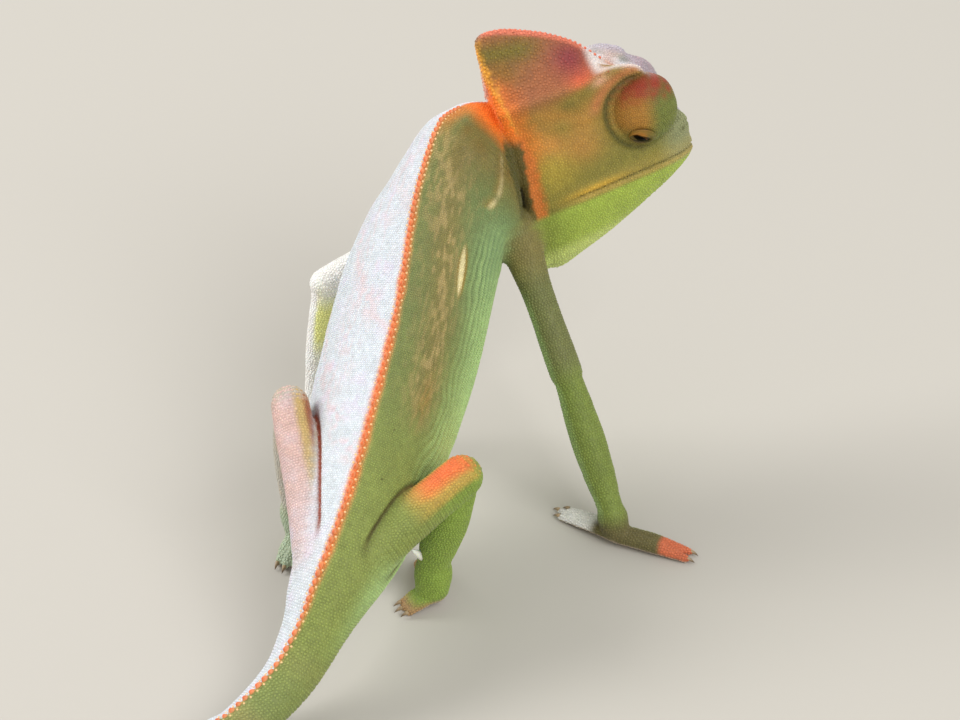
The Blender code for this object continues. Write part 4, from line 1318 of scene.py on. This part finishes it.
# ---- scales
def scale_spacing(skin, clay, places):
    """Size of the scales at each point of the skin."""
    kinds = np.array(["trunk", "head", "turret", "turret", *["limb"] * 4])
    size = np.array([SCALE_SIZES[kind] for kind in kinds[skin.group]])
    along, _, _ = places.body(skin.points, clay, skin.near[:, BODY])
    rear = (skin.group == BODY) * soft(along, 66, 92)
    size = size + (SCALE_SIZES["tail"] - SCALE_SIZES["trunk"]) * rear
    back, up, _ = places.head(skin.points)
    plates = (skin.group == HEAD) * soft(up - profile(BROW, back), 0.5, 2.5) * soft(back, 13, 16)
    size = size + 0.14 * plates
    return size * (0.92 + 0.2 * noise(skin.points, 1.5, 51))


def scale_rows(skin, clay, places):
    """Row each point lies in and its place in that row; rows run round body, limbs and eyes."""
    count = len(skin.points)
    row, across = np.full(count, np.nan), np.zeros(count)
    along, _, _ = places.body(skin.points, clay, skin.near[:, BODY])
    here = skin.group == BODY
    knots = np.arange(-20.0, 260.0, 0.5)
    pitch = ROW_PITCH["trunk"] + (ROW_PITCH["tail"] - ROW_PITCH["trunk"]) * soft(knots, 66, 92)
    row[here] = np.interp(along[here], knots, np.cumsum(0.5 / pitch))
    for g, sign in TURRETS:
        here = skin.group == g
        forward, up, _, arc = turret_coords(skin.points[here], sign)
        row[here] = arc / ROW_PITCH["turret"]
        across[here] = np.arctan2(up, forward)
    for name in LEGS:
        here = skin.group == GROUPS.index(name)
        reach, _ = limb_place(name, clay, skin.source[here], skin.points[here])
        row[here] = reach / ROW_PITCH["limb"]
    on_turret = np.isin(skin.group, [g for g, _ in TURRETS])
    return row, np.where(on_turret, across, clay.round_it(skin.source, skin.points))


def scatter(skin, spacing, rows, bare, chance):
    """Roots spread over the skin, in rows or free, none closer than the local size."""
    row, across = rows
    triangles = np.concatenate([skin.quads[:, [0, 1, 2]], skin.quads[:, [0, 2, 3]]])
    a, b, c = (skin.points[triangles[:, i]] for i in range(3))
    area = np.linalg.norm(np.cross(b - a, c - a), axis=1) / 2
    load = area / spacing[triangles].mean(axis=1) ** 2 * ~bare[triangles].any(axis=1)
    count = int(load.sum() * TRIES)
    pick = np.searchsorted(np.cumsum(load) / load.sum(), chance.random(count))
    pick = triangles[np.minimum(pick, len(triangles) - 1)]
    one, two = chance.random(count), chance.random(count)
    flip = one + two > 1
    one, two = np.where(flip, 1 - one, one), np.where(flip, 1 - two, two)
    weights = np.stack([1 - one - two, one, two], axis=1)
    line = mixed(weights, row[pick])
    loose = np.isnan(line)
    line = np.where(loose, 0, line)
    keep = np.where(loose, chance.random(count) < LOOSE_SHARE, np.abs(line - np.round(line)) < ROW_BAND)
    pick, weights, line, loose = pick[keep], weights[keep], line[keep], loose[keep]
    place = mixed(weights, across[pick])
    group = skin.group[pick[:, 0]]
    order = np.lexsort((np.where(loose, chance.random(len(pick)), place), np.round(line), group))
    pick, weights = pick[order], weights[order]
    places = mixed(weights, skin.points[pick])
    size = mixed(weights, spacing[pick])
    tree = tree_of(places)
    free = bytearray(b"\x01") * len(places)
    kept = []
    for i, place in enumerate(places):
        if free[i]:
            kept.append(i)
            for _, j, _ in tree.find_range(place, size[i] * NEAREST):
                free[j] = 0
    return pick[kept], weights[kept], size[kept]


def shelf(boxes):
    """Packs charts, given as (width, height), on shelves of a square; returns corners and its side."""
    side = math.sqrt(sum((w + 2) * (h + 2) for w, h in boxes)) * 1.08
    order = sorted(range(len(boxes)), key=lambda i: -boxes[i][1])
    corners = {}
    x = y = tall = 0.0
    for i in order:
        w, h = boxes[i]
        if x + w + 2 > side:
            x, y, tall = 0.0, y + tall, 0.0
        corners[i] = (x + 1, y + 1)
        x += w + 2
        tall = max(tall, h + 2)
    return corners, max(side, y + tall)


CHART_CUTS = (52, 105, 157)                      # distances at which a long form starts a new chart


class Unwrap:
    """Flat chart for every piece of the skin: round it one way, along it the other."""

    def __init__(self, skin, clay):
        self.clay = clay
        u, v, chart = self.flat(skin.points, skin.source)
        self.low, boxes = {}, []
        self.names = sorted(set(chart.tolist()))
        for name in self.names:
            here = chart == name
            low = np.array([u[here].min(), v[here].min()])
            high = np.array([u[here].max(), v[here].max()])
            self.low[name] = low
            boxes.append(tuple(high - low))
        corners, self.side = shelf(boxes)
        self.corner = {name: corners[i] for i, name in enumerate(self.names)}

    def flat(self, points, source):
        clay = self.clay
        offset = points - clay.points[source]
        u = (clay.turn[source] - 0.5) * clay.girth[source] + np.sum(offset * clay.around[source], axis=1)
        v = clay.reach(source, points)
        chart = clay.piece[source] * 10 + sum(v > cut for cut in CHART_CUTS)
        return u, v, chart

    def place(self, points, source):
        u, v, chart = self.flat(points, source)
        low, corner = (np.array([table.get(name, (0, 0)) for name in chart.tolist()])
                       for table in (self.low, self.corner))
        return np.clip((np.c_[u, v] - low + corner) / self.side, 0.003, 0.997)


def add_scales(skin, clay, places, tints, unwrap):
    """Low granular scales all over the skin, in a few pieces."""
    chance = np.random.default_rng(7)
    spacing = scale_spacing(skin, clay, places)
    bare = np.zeros(len(skin.points), bool)
    for g, sign in TURRETS:
        bare |= (skin.group == g) & (turret_coords(skin.points, sign)[3] < LID_REACH - 0.15)
    pick, weights, size = scatter(skin, spacing, scale_rows(skin, clay, places), bare, chance)
    roots = mixed(weights, skin.points[pick])
    up = unit(mixed(weights, skin.normals()[pick]))
    nearest = pick[np.arange(len(pick)), weights.argmax(axis=1)]
    source, group = skin.source[nearest], skin.group[nearest]
    colour = mixed(weights, tints[pick]) * (0.93 + 0.14 * chance.random(len(pick)))[:, None]
    along = clay.along[source]
    patches = unwrap.place(roots, source)
    names = np.array(SCALE_PIECES)[group]
    names = np.where((group == BODY) & (along > TAIL_START), "scales_tail", names)
    for name in sorted(set(names.tolist())):
        members = np.flatnonzero(names == name)
        members = members[np.argsort(along[members] + 300.0 * group[members], kind="stable")]
        parts = -(-len(members) // PIECE_SCALES)
        for number, here in enumerate(np.array_split(members, parts), 1):
            stand = roots[here], up[here], clay.ahead[source[here]]
            # painted shade and highlight: each scale is darker at its root and a little lighter at its top
            studs(f"{name}_{number}", stand, (size[here] * SCALE_WIDTH, size[here] * SCALE_RISE),
                  (colour[here] * 0.86, colour[here] * 1.03), SCALE_SHAPE, "scale", patches[here])


# ---- crests
CREST_GAPS = ((12, 42, 56, 210), (0.95, 1.05, 1.30, 1.30))   # between the cones of the back
CONE = ((1.0, -0.4), (0.86, 0.2), (0.55, 0.6), (0.22, 0.92), (0.08, 1.0))
BEAD = ((1.0, -0.4), (0.95, 0.3), (0.62, 0.8), (0.25, 1.0))
CREST_PLACES = (12, 24, 100, 190)                            # down the ridge, for the sizes below
CONE_SIZES = (0.28, 0.37, 0.38, 0.21)                        # half widths
BEAD_SIZES = (0.16, 0.24, 0.22, 0.12)
BEAD_ASIDE = 0.50
BEAD_SUNK = 0.17
CONE_RED = srgb(230, 108, 60)
CONE_PALE = srgb(244, 204, 150)


def crest_frame(spine, starts, down=False):
    roots, up, ahead = [], [], []
    for place in starts:
        row = spine.at(place)
        forward, _, below = spine.axes(place)
        roots.append(row[:3] + below * (row[3] - COAT if down else COAT))
        up.append(below if down else -below)
        ahead.append(forward)
    return np.array(roots), np.array(up), np.array(ahead)


def add_back_crest(spine, unwrap_at):
    """Cones along the ridge, from the nape to the last of the tail, with pale beads beside them."""
    starts = [12.0]
    while starts[-1] < spine.length - 12:
        starts.append(starts[-1] + float(np.interp(starts[-1], *CREST_GAPS)))
    starts = np.array(starts)
    roots, up, ahead = crest_frame(spine, starts)
    size = np.interp(starts, CREST_PLACES, CONE_SIZES)
    chance = np.random.default_rng(11)
    size = size * (0.88 + 0.24 * chance.random(len(starts)))
    red = np.tile(CONE_RED, (len(starts), 1)) * (0.85 + 0.3 * chance.random(len(starts)))[:, None]
    base = np.tile(CONE_PALE, (len(starts), 1)) * 0.5 + red * 0.5
    studs("crest_back", (roots, unit(up - 0.35 * ahead), ahead), (size, size * 1.6), (base, red), CONE,
          "crest", unwrap_at(roots), sides=8, longer=1.55)
    between = (starts[:-1] + starts[1:]) / 2
    roots, up, ahead = crest_frame(spine, between)
    left = np.cross(ahead, -up)
    size = np.tile(np.interp(between, CREST_PLACES, BEAD_SIZES), 2)
    roots = np.concatenate([roots + sign * left * BEAD_ASIDE - up * BEAD_SUNK for sign in (1, -1)])
    pale = np.tile(CONE_PALE, (len(roots), 1))
    # painted shade: the beads are darker at their roots
    studs("crest_beads", (roots, np.tile(up, (2, 1)), np.tile(ahead, (2, 1))), (size, size * 0.9),
          (pale * 0.9, pale), BEAD, "crest", unwrap_at(roots))


def add_belly_crest(spine, unwrap_at):
    """Short pale cones along the keel of the belly."""
    starts = np.arange(24.0, 88.0, 1.0)
    roots, up, ahead = crest_frame(spine, starts, down=True)
    size = np.interp(starts, (24, 34, 75, 88), (0.22, 0.36, 0.32, 0.16))
    tints = [np.tile(colour, (len(starts), 1)) for colour in (KEEL, srgb(226, 140, 70))]
    studs("crest_belly", (roots, unit(up - 0.3 * ahead), ahead), (size, size * 1.3), tints, CONE,
          "crest", unwrap_at(roots))


def head_row(unwrap_at, name, backs, spots, size, colour):
    """Row of beads on the head; spots: (up, out) and the way each stands, in the head's axes."""
    roots = np.array([head_point(back + REAR_SLANT * (back / HEAD_LENGTH) ** 2 * (up - REAR_FOOT), up, out)
                      for back, (up, out, _, _) in zip(backs, spots)])
    stand = unit(np.array([rise * HEAD_UP + away * HEAD_RIGHT for _, _, rise, away in spots]))
    base = np.tile(colour, (len(roots), 1))
    # painted shade: each bead is darker at its root
    studs(name, (roots, stand, np.tile(HEAD_FORWARD, (len(roots), 1))), (size, size * 0.95),
          (base * 0.85, base), BEAD, "crest", unwrap_at(roots))


def add_head_crests(unwrap_at):
    """Beads on the casque's edge and on each brow, and small cones under the chin."""
    backs = np.arange(12.5, 27.0, 0.62)
    spots = [(profile(CROWN, back) - 0.12, 0.0, 1.0, 0.0) for back in backs]
    # the casque's beads carry the same painted highlight colour
    head_row(unwrap_at, "beads_casque", backs, spots, np.full(len(backs), 0.27), CASQUE_EDGE_LIGHT)
    for side, sign in SIDES:
        backs = np.arange(3.0, 27.6, 0.66)
        spots = [(profile(BROW, back) + 0.1, sign * profile(BROW_OUT, back), 0.75, sign * 0.66)
                 for back in backs]
        size = 0.24 + 0.04 * np.sin(backs * 5.0)
        head_row(unwrap_at, f"beads_brow_{side}", backs, spots, size, CASQUE * 0.9)
    backs = np.arange(2.0, 25.0, 0.95)
    spots = [(profile(THROAT, back) + 0.12, 0.0, -1.0, 0.0) for back in backs]
    size = np.interp(backs, (2, 6, 18, 25), (0.24, 0.40, 0.36, 0.22))
    head_row(unwrap_at, "crest_chin", backs, spots, size, CHIN)


# ---- eyes, claws and spurs
def lathe(name, start, axis, rows, tints, paint, sides=48):
    """Turned closed form: rows of (distance along the axis, radius), with a colour for each."""
    helper = HEAD_UP if abs(axis @ HEAD_UP) < 0.9 else HEAD_FORWARD
    across = unit(np.cross(helper, axis))
    ring = circle(sides, across, np.cross(axis, across))
    points = np.concatenate([start + axis * along + radius * ring for along, radius in rows])
    return new_piece(name, points, ring_faces(len(rows), sides), np.repeat(tints, sides, axis=0), paint)


def lid_axes(sign):
    """Outward, forward and upward axes of a lid."""
    axis = gaze_axis(sign)
    ahead = unit(HEAD_FORWARD - axis * (HEAD_FORWARD @ axis))
    return axis, ahead, np.cross(axis, ahead)


def add_eye(side, sign):
    """Glossy ball with a black pupil and a thin gold ring, turned to the opening of the lid."""
    outward, ahead, high = lid_axes(sign)
    axis = unit(outward * EYE_INSET - ahead * LID_SHIFT[0] - high * LID_SHIFT[1])
    angles = np.radians(np.linspace(178, 2, 45))
    radius = EYE_RADIUS - EYE_SHRINK
    rows = [(radius * math.cos(a), radius * math.sin(a)) for a in angles]
    degrees = np.degrees(angles)
    tints = np.tile(EYE_DARK, (len(rows), 1))
    tints = lay(tints, EYE_GOLD, 0.7 * hill(degrees, 43, 2.5))
    tints = lay(tints, EYE_PUPIL, soft(degrees, 40, 37))
    ball = lathe(f"eyeball_{side}", eye_place(sign), axis, rows, tints, "eye")
    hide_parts(f"eye_{side}")


def add_lid(side, sign):
    """Ring of skin over the eye, with an oval opening, in the turret's colours, with painted shade: darker
    all over, below the opening and on the last rings.
    """
    axis, ahead, high = lid_axes(sign)
    top = eye_place(sign) + axis * EYE_INSET
    sides, rows = 72, 18
    turn = turns(sides)
    rings = []
    for inward in [*np.linspace(0, 1, rows), LID_TUCK]:
        part = min(inward, 1.0) ** 0.8
        swell = math.sin(math.pi * min(inward, 1.0))
        across = (LID_REACH + (LID_OPEN[0] - LID_REACH) * part) * np.cos(turn) - LID_SHIFT[0] * part
        upward = (LID_REACH + (LID_OPEN[1] - LID_REACH) * part) * np.sin(turn) - LID_SHIFT[1] * part
        far = np.hypot(across, upward)
        dome = -far ** 2 / (2 * TURRET_RADIUS) - 0.03 + LID_SWELL * swell
        ball = np.sqrt(np.maximum(EYE_RADIUS ** 2 - far ** 2, 0.0)) - EYE_INSET
        height = np.maximum(dome, ball + 0.03 + 0.14 * swell)
        height = height + 0.02 * math.sin(inward * 20) - 4.0 * max(inward - 1.0, 0.0)
        rings.append(top + across[:, None] * ahead + upward[:, None] * high + height[:, None] * axis)
    points = np.concatenate(rings)
    forward, up, _, arc = turret_coords(points, sign)
    # painted shade over the whole lid
    tints = paint_turret(forward, up, arc, points, sign) * LID_SHADOW
    # painted shade below the opening
    below = soft(np.sin(turn), 0.1, -0.7) * soft(np.cos(turn), -1.1, -0.3)
    tints = lay(tints, LID_SHADE, np.tile(0.8 * below, rows + 1))
    tints[-4 * sides:] *= np.repeat(LID_RIM_SHADE, sides)[:, None]
    new_piece(f"eyelid_{side}", points, ring_faces(rows + 1, sides), tints, "crest")


def horn_rings(root, ahead, length, radius, drop, tip):
    """Rings of a curved cone, from root to tip."""
    down = np.array([0.0, 0.0, -1.0])
    across = unit(np.cross(down, ahead))
    rings = []
    for part in np.linspace(0, 1, HORN_ROWS):
        heading = unit(ahead + down * 2 * drop / length * part)
        middle = np.array(root) + ahead * length * part + down * drop * part ** 2
        thick = radius * (1 - (1 - tip) * part ** 1.4) * math.sqrt(max(1 - part ** 6, 0.02))
        rings.append(middle + thick * circle(HORN_SIDES, across, np.cross(heading, across)))
    return np.concatenate(rings)


def horns(name, forms, root_tint, tip_tint, paint):
    """Several curved cones in one mesh."""
    corners, sizes = ring_faces(HORN_ROWS, HORN_SIDES)
    step = np.arange(len(forms))[:, None] * HORN_ROWS * HORN_SIDES
    faces = (corners[None] + step).ravel(), np.tile(sizes, len(forms))
    part = np.repeat(np.linspace(0, 1, HORN_ROWS), HORN_SIDES)[:, None]
    tints = np.tile(root_tint * (1 - part) + tip_tint * part, (len(forms), 1))
    return new_piece(name, on_floor(np.concatenate(forms), 0.02), faces, tints, paint)


def add_claws():
    forms = []
    for facts in LEGS.values():
        for bundle in ("outer", "inner"):
            for _, end, radius, ahead in toe_places(facts, bundle):
                root = end + ahead * radius * 0.25
                root[2] = max(end[2], 0.65)
                forms.append(horn_rings(root, ahead, CLAW_LENGTH, CLAW_RADIUS, 0.55, 0.12))
    horns("claws", forms, srgb(176, 152, 118), srgb(92, 76, 60), "claw")


def add_spurs():
    """Pale spur at each heel."""
    forms = []
    for facts in LEGS.values():
        if facts["spur"]:
            wrist = np.array(facts["wrist"])
            reach = np.array(facts["spur"]) - wrist
            ahead, length = unit(reach), np.linalg.norm(reach)
            forms.append(horn_rings(wrist + ahead * length * 0.35, ahead, length * 0.72, 0.85, -0.5, 0.35))
    horns("heel_spurs", forms, srgb(226, 220, 206), srgb(250, 248, 242), "spur")


# ---- materials
PAINTS = {                    # grain and depth are the size and height of the relief in mm
    "skin": dict(slot="skin", rough=0.58, grain=0.30, depth=0.05, mottle=0.14, deep=0.10, sheen=0.15),
    "scale": dict(slot="skin", rough=0.50, grain=0.16, depth=0.02, mottle=0.10, deep=0.06, sheen=0.10),
    "crest": dict(slot="skin", rough=0.48, grain=0.12, depth=0.015, mottle=0.10, deep=0.15),
    "eye": dict(slot="eye", rough=0.20, grain=0.10, depth=0.002, mottle=0.25, shine=0.06),
    "claw": dict(slot="claw", rough=0.34, grain=0.25, depth=0.012, mottle=0.22),
    "spur": dict(slot="spur", rough=0.38, grain=0.22, depth=0.012, mottle=0.08, deep=0.2),
}


def set_inputs(node, **values):
    """Sets a node's inputs; an underscore in a name stands for a space."""
    for name, value in values.items():
        node.inputs[name.replace("_", " ")].default_value = value


def tinted(name, rough, grain, depth, mottle, deep=0.0, sheen=0.0, shine=0.35, **_):
    """Material whose colour is the piece's own tint, mottled, with a fine grain in relief."""
    made = bpy.data.materials.new(name)
    made.use_nodes = True
    nodes, links = made.node_tree.nodes, made.node_tree.links
    shader = nodes["Principled BSDF"]
    set_inputs(shader, Sheen_Weight=sheen, Sheen_Roughness=0.4, Subsurface_Weight=deep,
               Subsurface_Radius=(1.0, 0.55, 0.3), Subsurface_Scale=0.6 * MM)
    shader.inputs["Specular IOR Level"].default_value = shine
    kinds = ("Attribute", "TexCoord", "TexVoronoi", "TexNoise", "MapRange", "VectorMath", "MapRange", "Bump")
    tint, place, cells, cloud, shade, blend, wear, bump = (nodes.new(f"ShaderNode{kind}") for kind in kinds)
    tint.attribute_name = "tint"
    set_inputs(cells, Scale=1 / (grain * MM))
    set_inputs(cloud, Scale=0.35 / (grain * MM), Detail=4.0)
    set_inputs(shade, From_Min=0.3, From_Max=0.7, To_Min=1 - mottle, To_Max=1 + mottle * 0.6)
    set_inputs(wear, To_Min=rough - 0.08, To_Max=rough + 0.10)
    set_inputs(bump, Distance=depth * MM)
    blend.operation = "SCALE"
    bump.invert = True
    for source, output, target, entry in (
        (place, "Object", cells, "Vector"), (place, "Object", cloud, "Vector"),
        (cloud, "Fac", shade, "Value"), (cloud, "Fac", wear, "Value"),
        (tint, "Color", blend, 0), (shade, "Result", blend, "Scale"),
        (blend, "Vector", shader, "Base Color"), (wear, "Result", shader, "Roughness"),
        (cells, "Distance", bump, "Height"), (bump, "Normal", shader, "Normal"),
    ):
        links.new(source.outputs[output], target.inputs[entry])
    return made


MATERIALS = {name: tinted(name, **facts) for name, facts in PAINTS.items()}


def plain(name, colour, rough):
    made = bpy.data.materials.new(name)
    made.use_nodes = True
    set_inputs(made.node_tree.nodes["Principled BSDF"], Base_Color=(*colour, 1.0), Roughness=rough)
    return made


# ---- floor, light and camera
FLOOR_RADIUS, FLOOR_DROP = 3.0, 0.0002           # metres
FLOOR_COLOUR = srgb(190, 186, 179)
LAMPS = (                     # name, place in mm, size in metres, watts, colour
    ("key", (-1500.0, 450.0, 1150.0), 0.9, 27.0, (1.0, 0.99, 0.97)),
    ("fill", (900.0, -1200.0, 1400.0), 1.2, 24.0, (1.0, 1.0, 1.0)),
)
LAMP_AIM = (-6.0, 0.0, 30.0)
ROOM_LIGHT, ROOM_POWER = (0.86, 0.85, 0.81, 1.0), 0.75


def add_floor():
    bpy.ops.mesh.primitive_circle_add(vertices=96, radius=FLOOR_RADIUS, fill_type="NGON",
                                      location=(0, 0, -FLOOR_DROP))
    floor = bpy.context.object
    floor.name = "floor"
    floor.data.materials.append(plain("floor_paper", FLOOR_COLOUR, 0.9))


def area_light(name, place, size, power, colour):
    data = bpy.data.lights.new(name, "AREA")
    data.size = size
    data.energy = power
    data.color = colour
    lamp = link(name, data)
    lamp.location = to_world(place)
    aim = Vector(to_world(LAMP_AIM)) - lamp.location
    lamp.rotation_euler = aim.to_track_quat("-Z", "Y").to_euler()


def add_light():
    for lamp in LAMPS:
        area_light(*lamp)
    world = bpy.data.worlds.new("studio")
    world.use_nodes = True
    set_inputs(world.node_tree.nodes["Background"], Color=ROOM_LIGHT, Strength=ROOM_POWER)
    bpy.context.scene.world = world
    bpy.context.scene.view_settings.view_transform = "Standard"


def add_camera():
    rise = math.radians(CAMERA_RISE)
    data = bpy.data.cameras.new("camera")
    data.lens = CAMERA_LENS
    data.clip_start = 0.01
    camera = link("camera", data)
    toward = np.array([0.0, math.cos(rise), -math.sin(rise)])
    camera.location = to_world(np.array(CAMERA_AIM) - CAMERA_FAR * toward)
    camera.rotation_euler = (math.pi / 2 - rise, 0.0, 0.0)
    bpy.context.scene.camera = camera


# ---- the animal
def build():
    spine = Spine()
    clay = build_clay(spine)
    skin = Skin(*remesh(clay), clay)
    places = Places(spine)
    sculpt(skin, clay, places)
    tints = paint_skin(skin, clay, places)
    faces = skin.quads.ravel(), np.full(len(skin.quads), 4)
    # the skin carries painted shade: it is darker than the scales above it
    piece = new_piece("skin", skin.points, faces, tints * SHADE_UNDER_SCALES, "skin")
    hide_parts(*[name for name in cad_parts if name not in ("eye_right", "eye_left")])
    unwrap = Unwrap(skin, clay)
    nearest = tree_of(clay.points)

    def unwrap_at(points):
        return unwrap.place(points, np.array([nearest.find(point)[1] for point in points]))

    add_scales(skin, clay, places, tints, unwrap)
    add_back_crest(spine, unwrap_at)
    add_belly_crest(spine, unwrap_at)
    add_head_crests(unwrap_at)
    for side, sign in SIDES:
        add_eye(side, sign)
        add_lid(side, sign)
    add_claws()
    add_spurs()


add_camera()
build()
add_floor()
add_light()
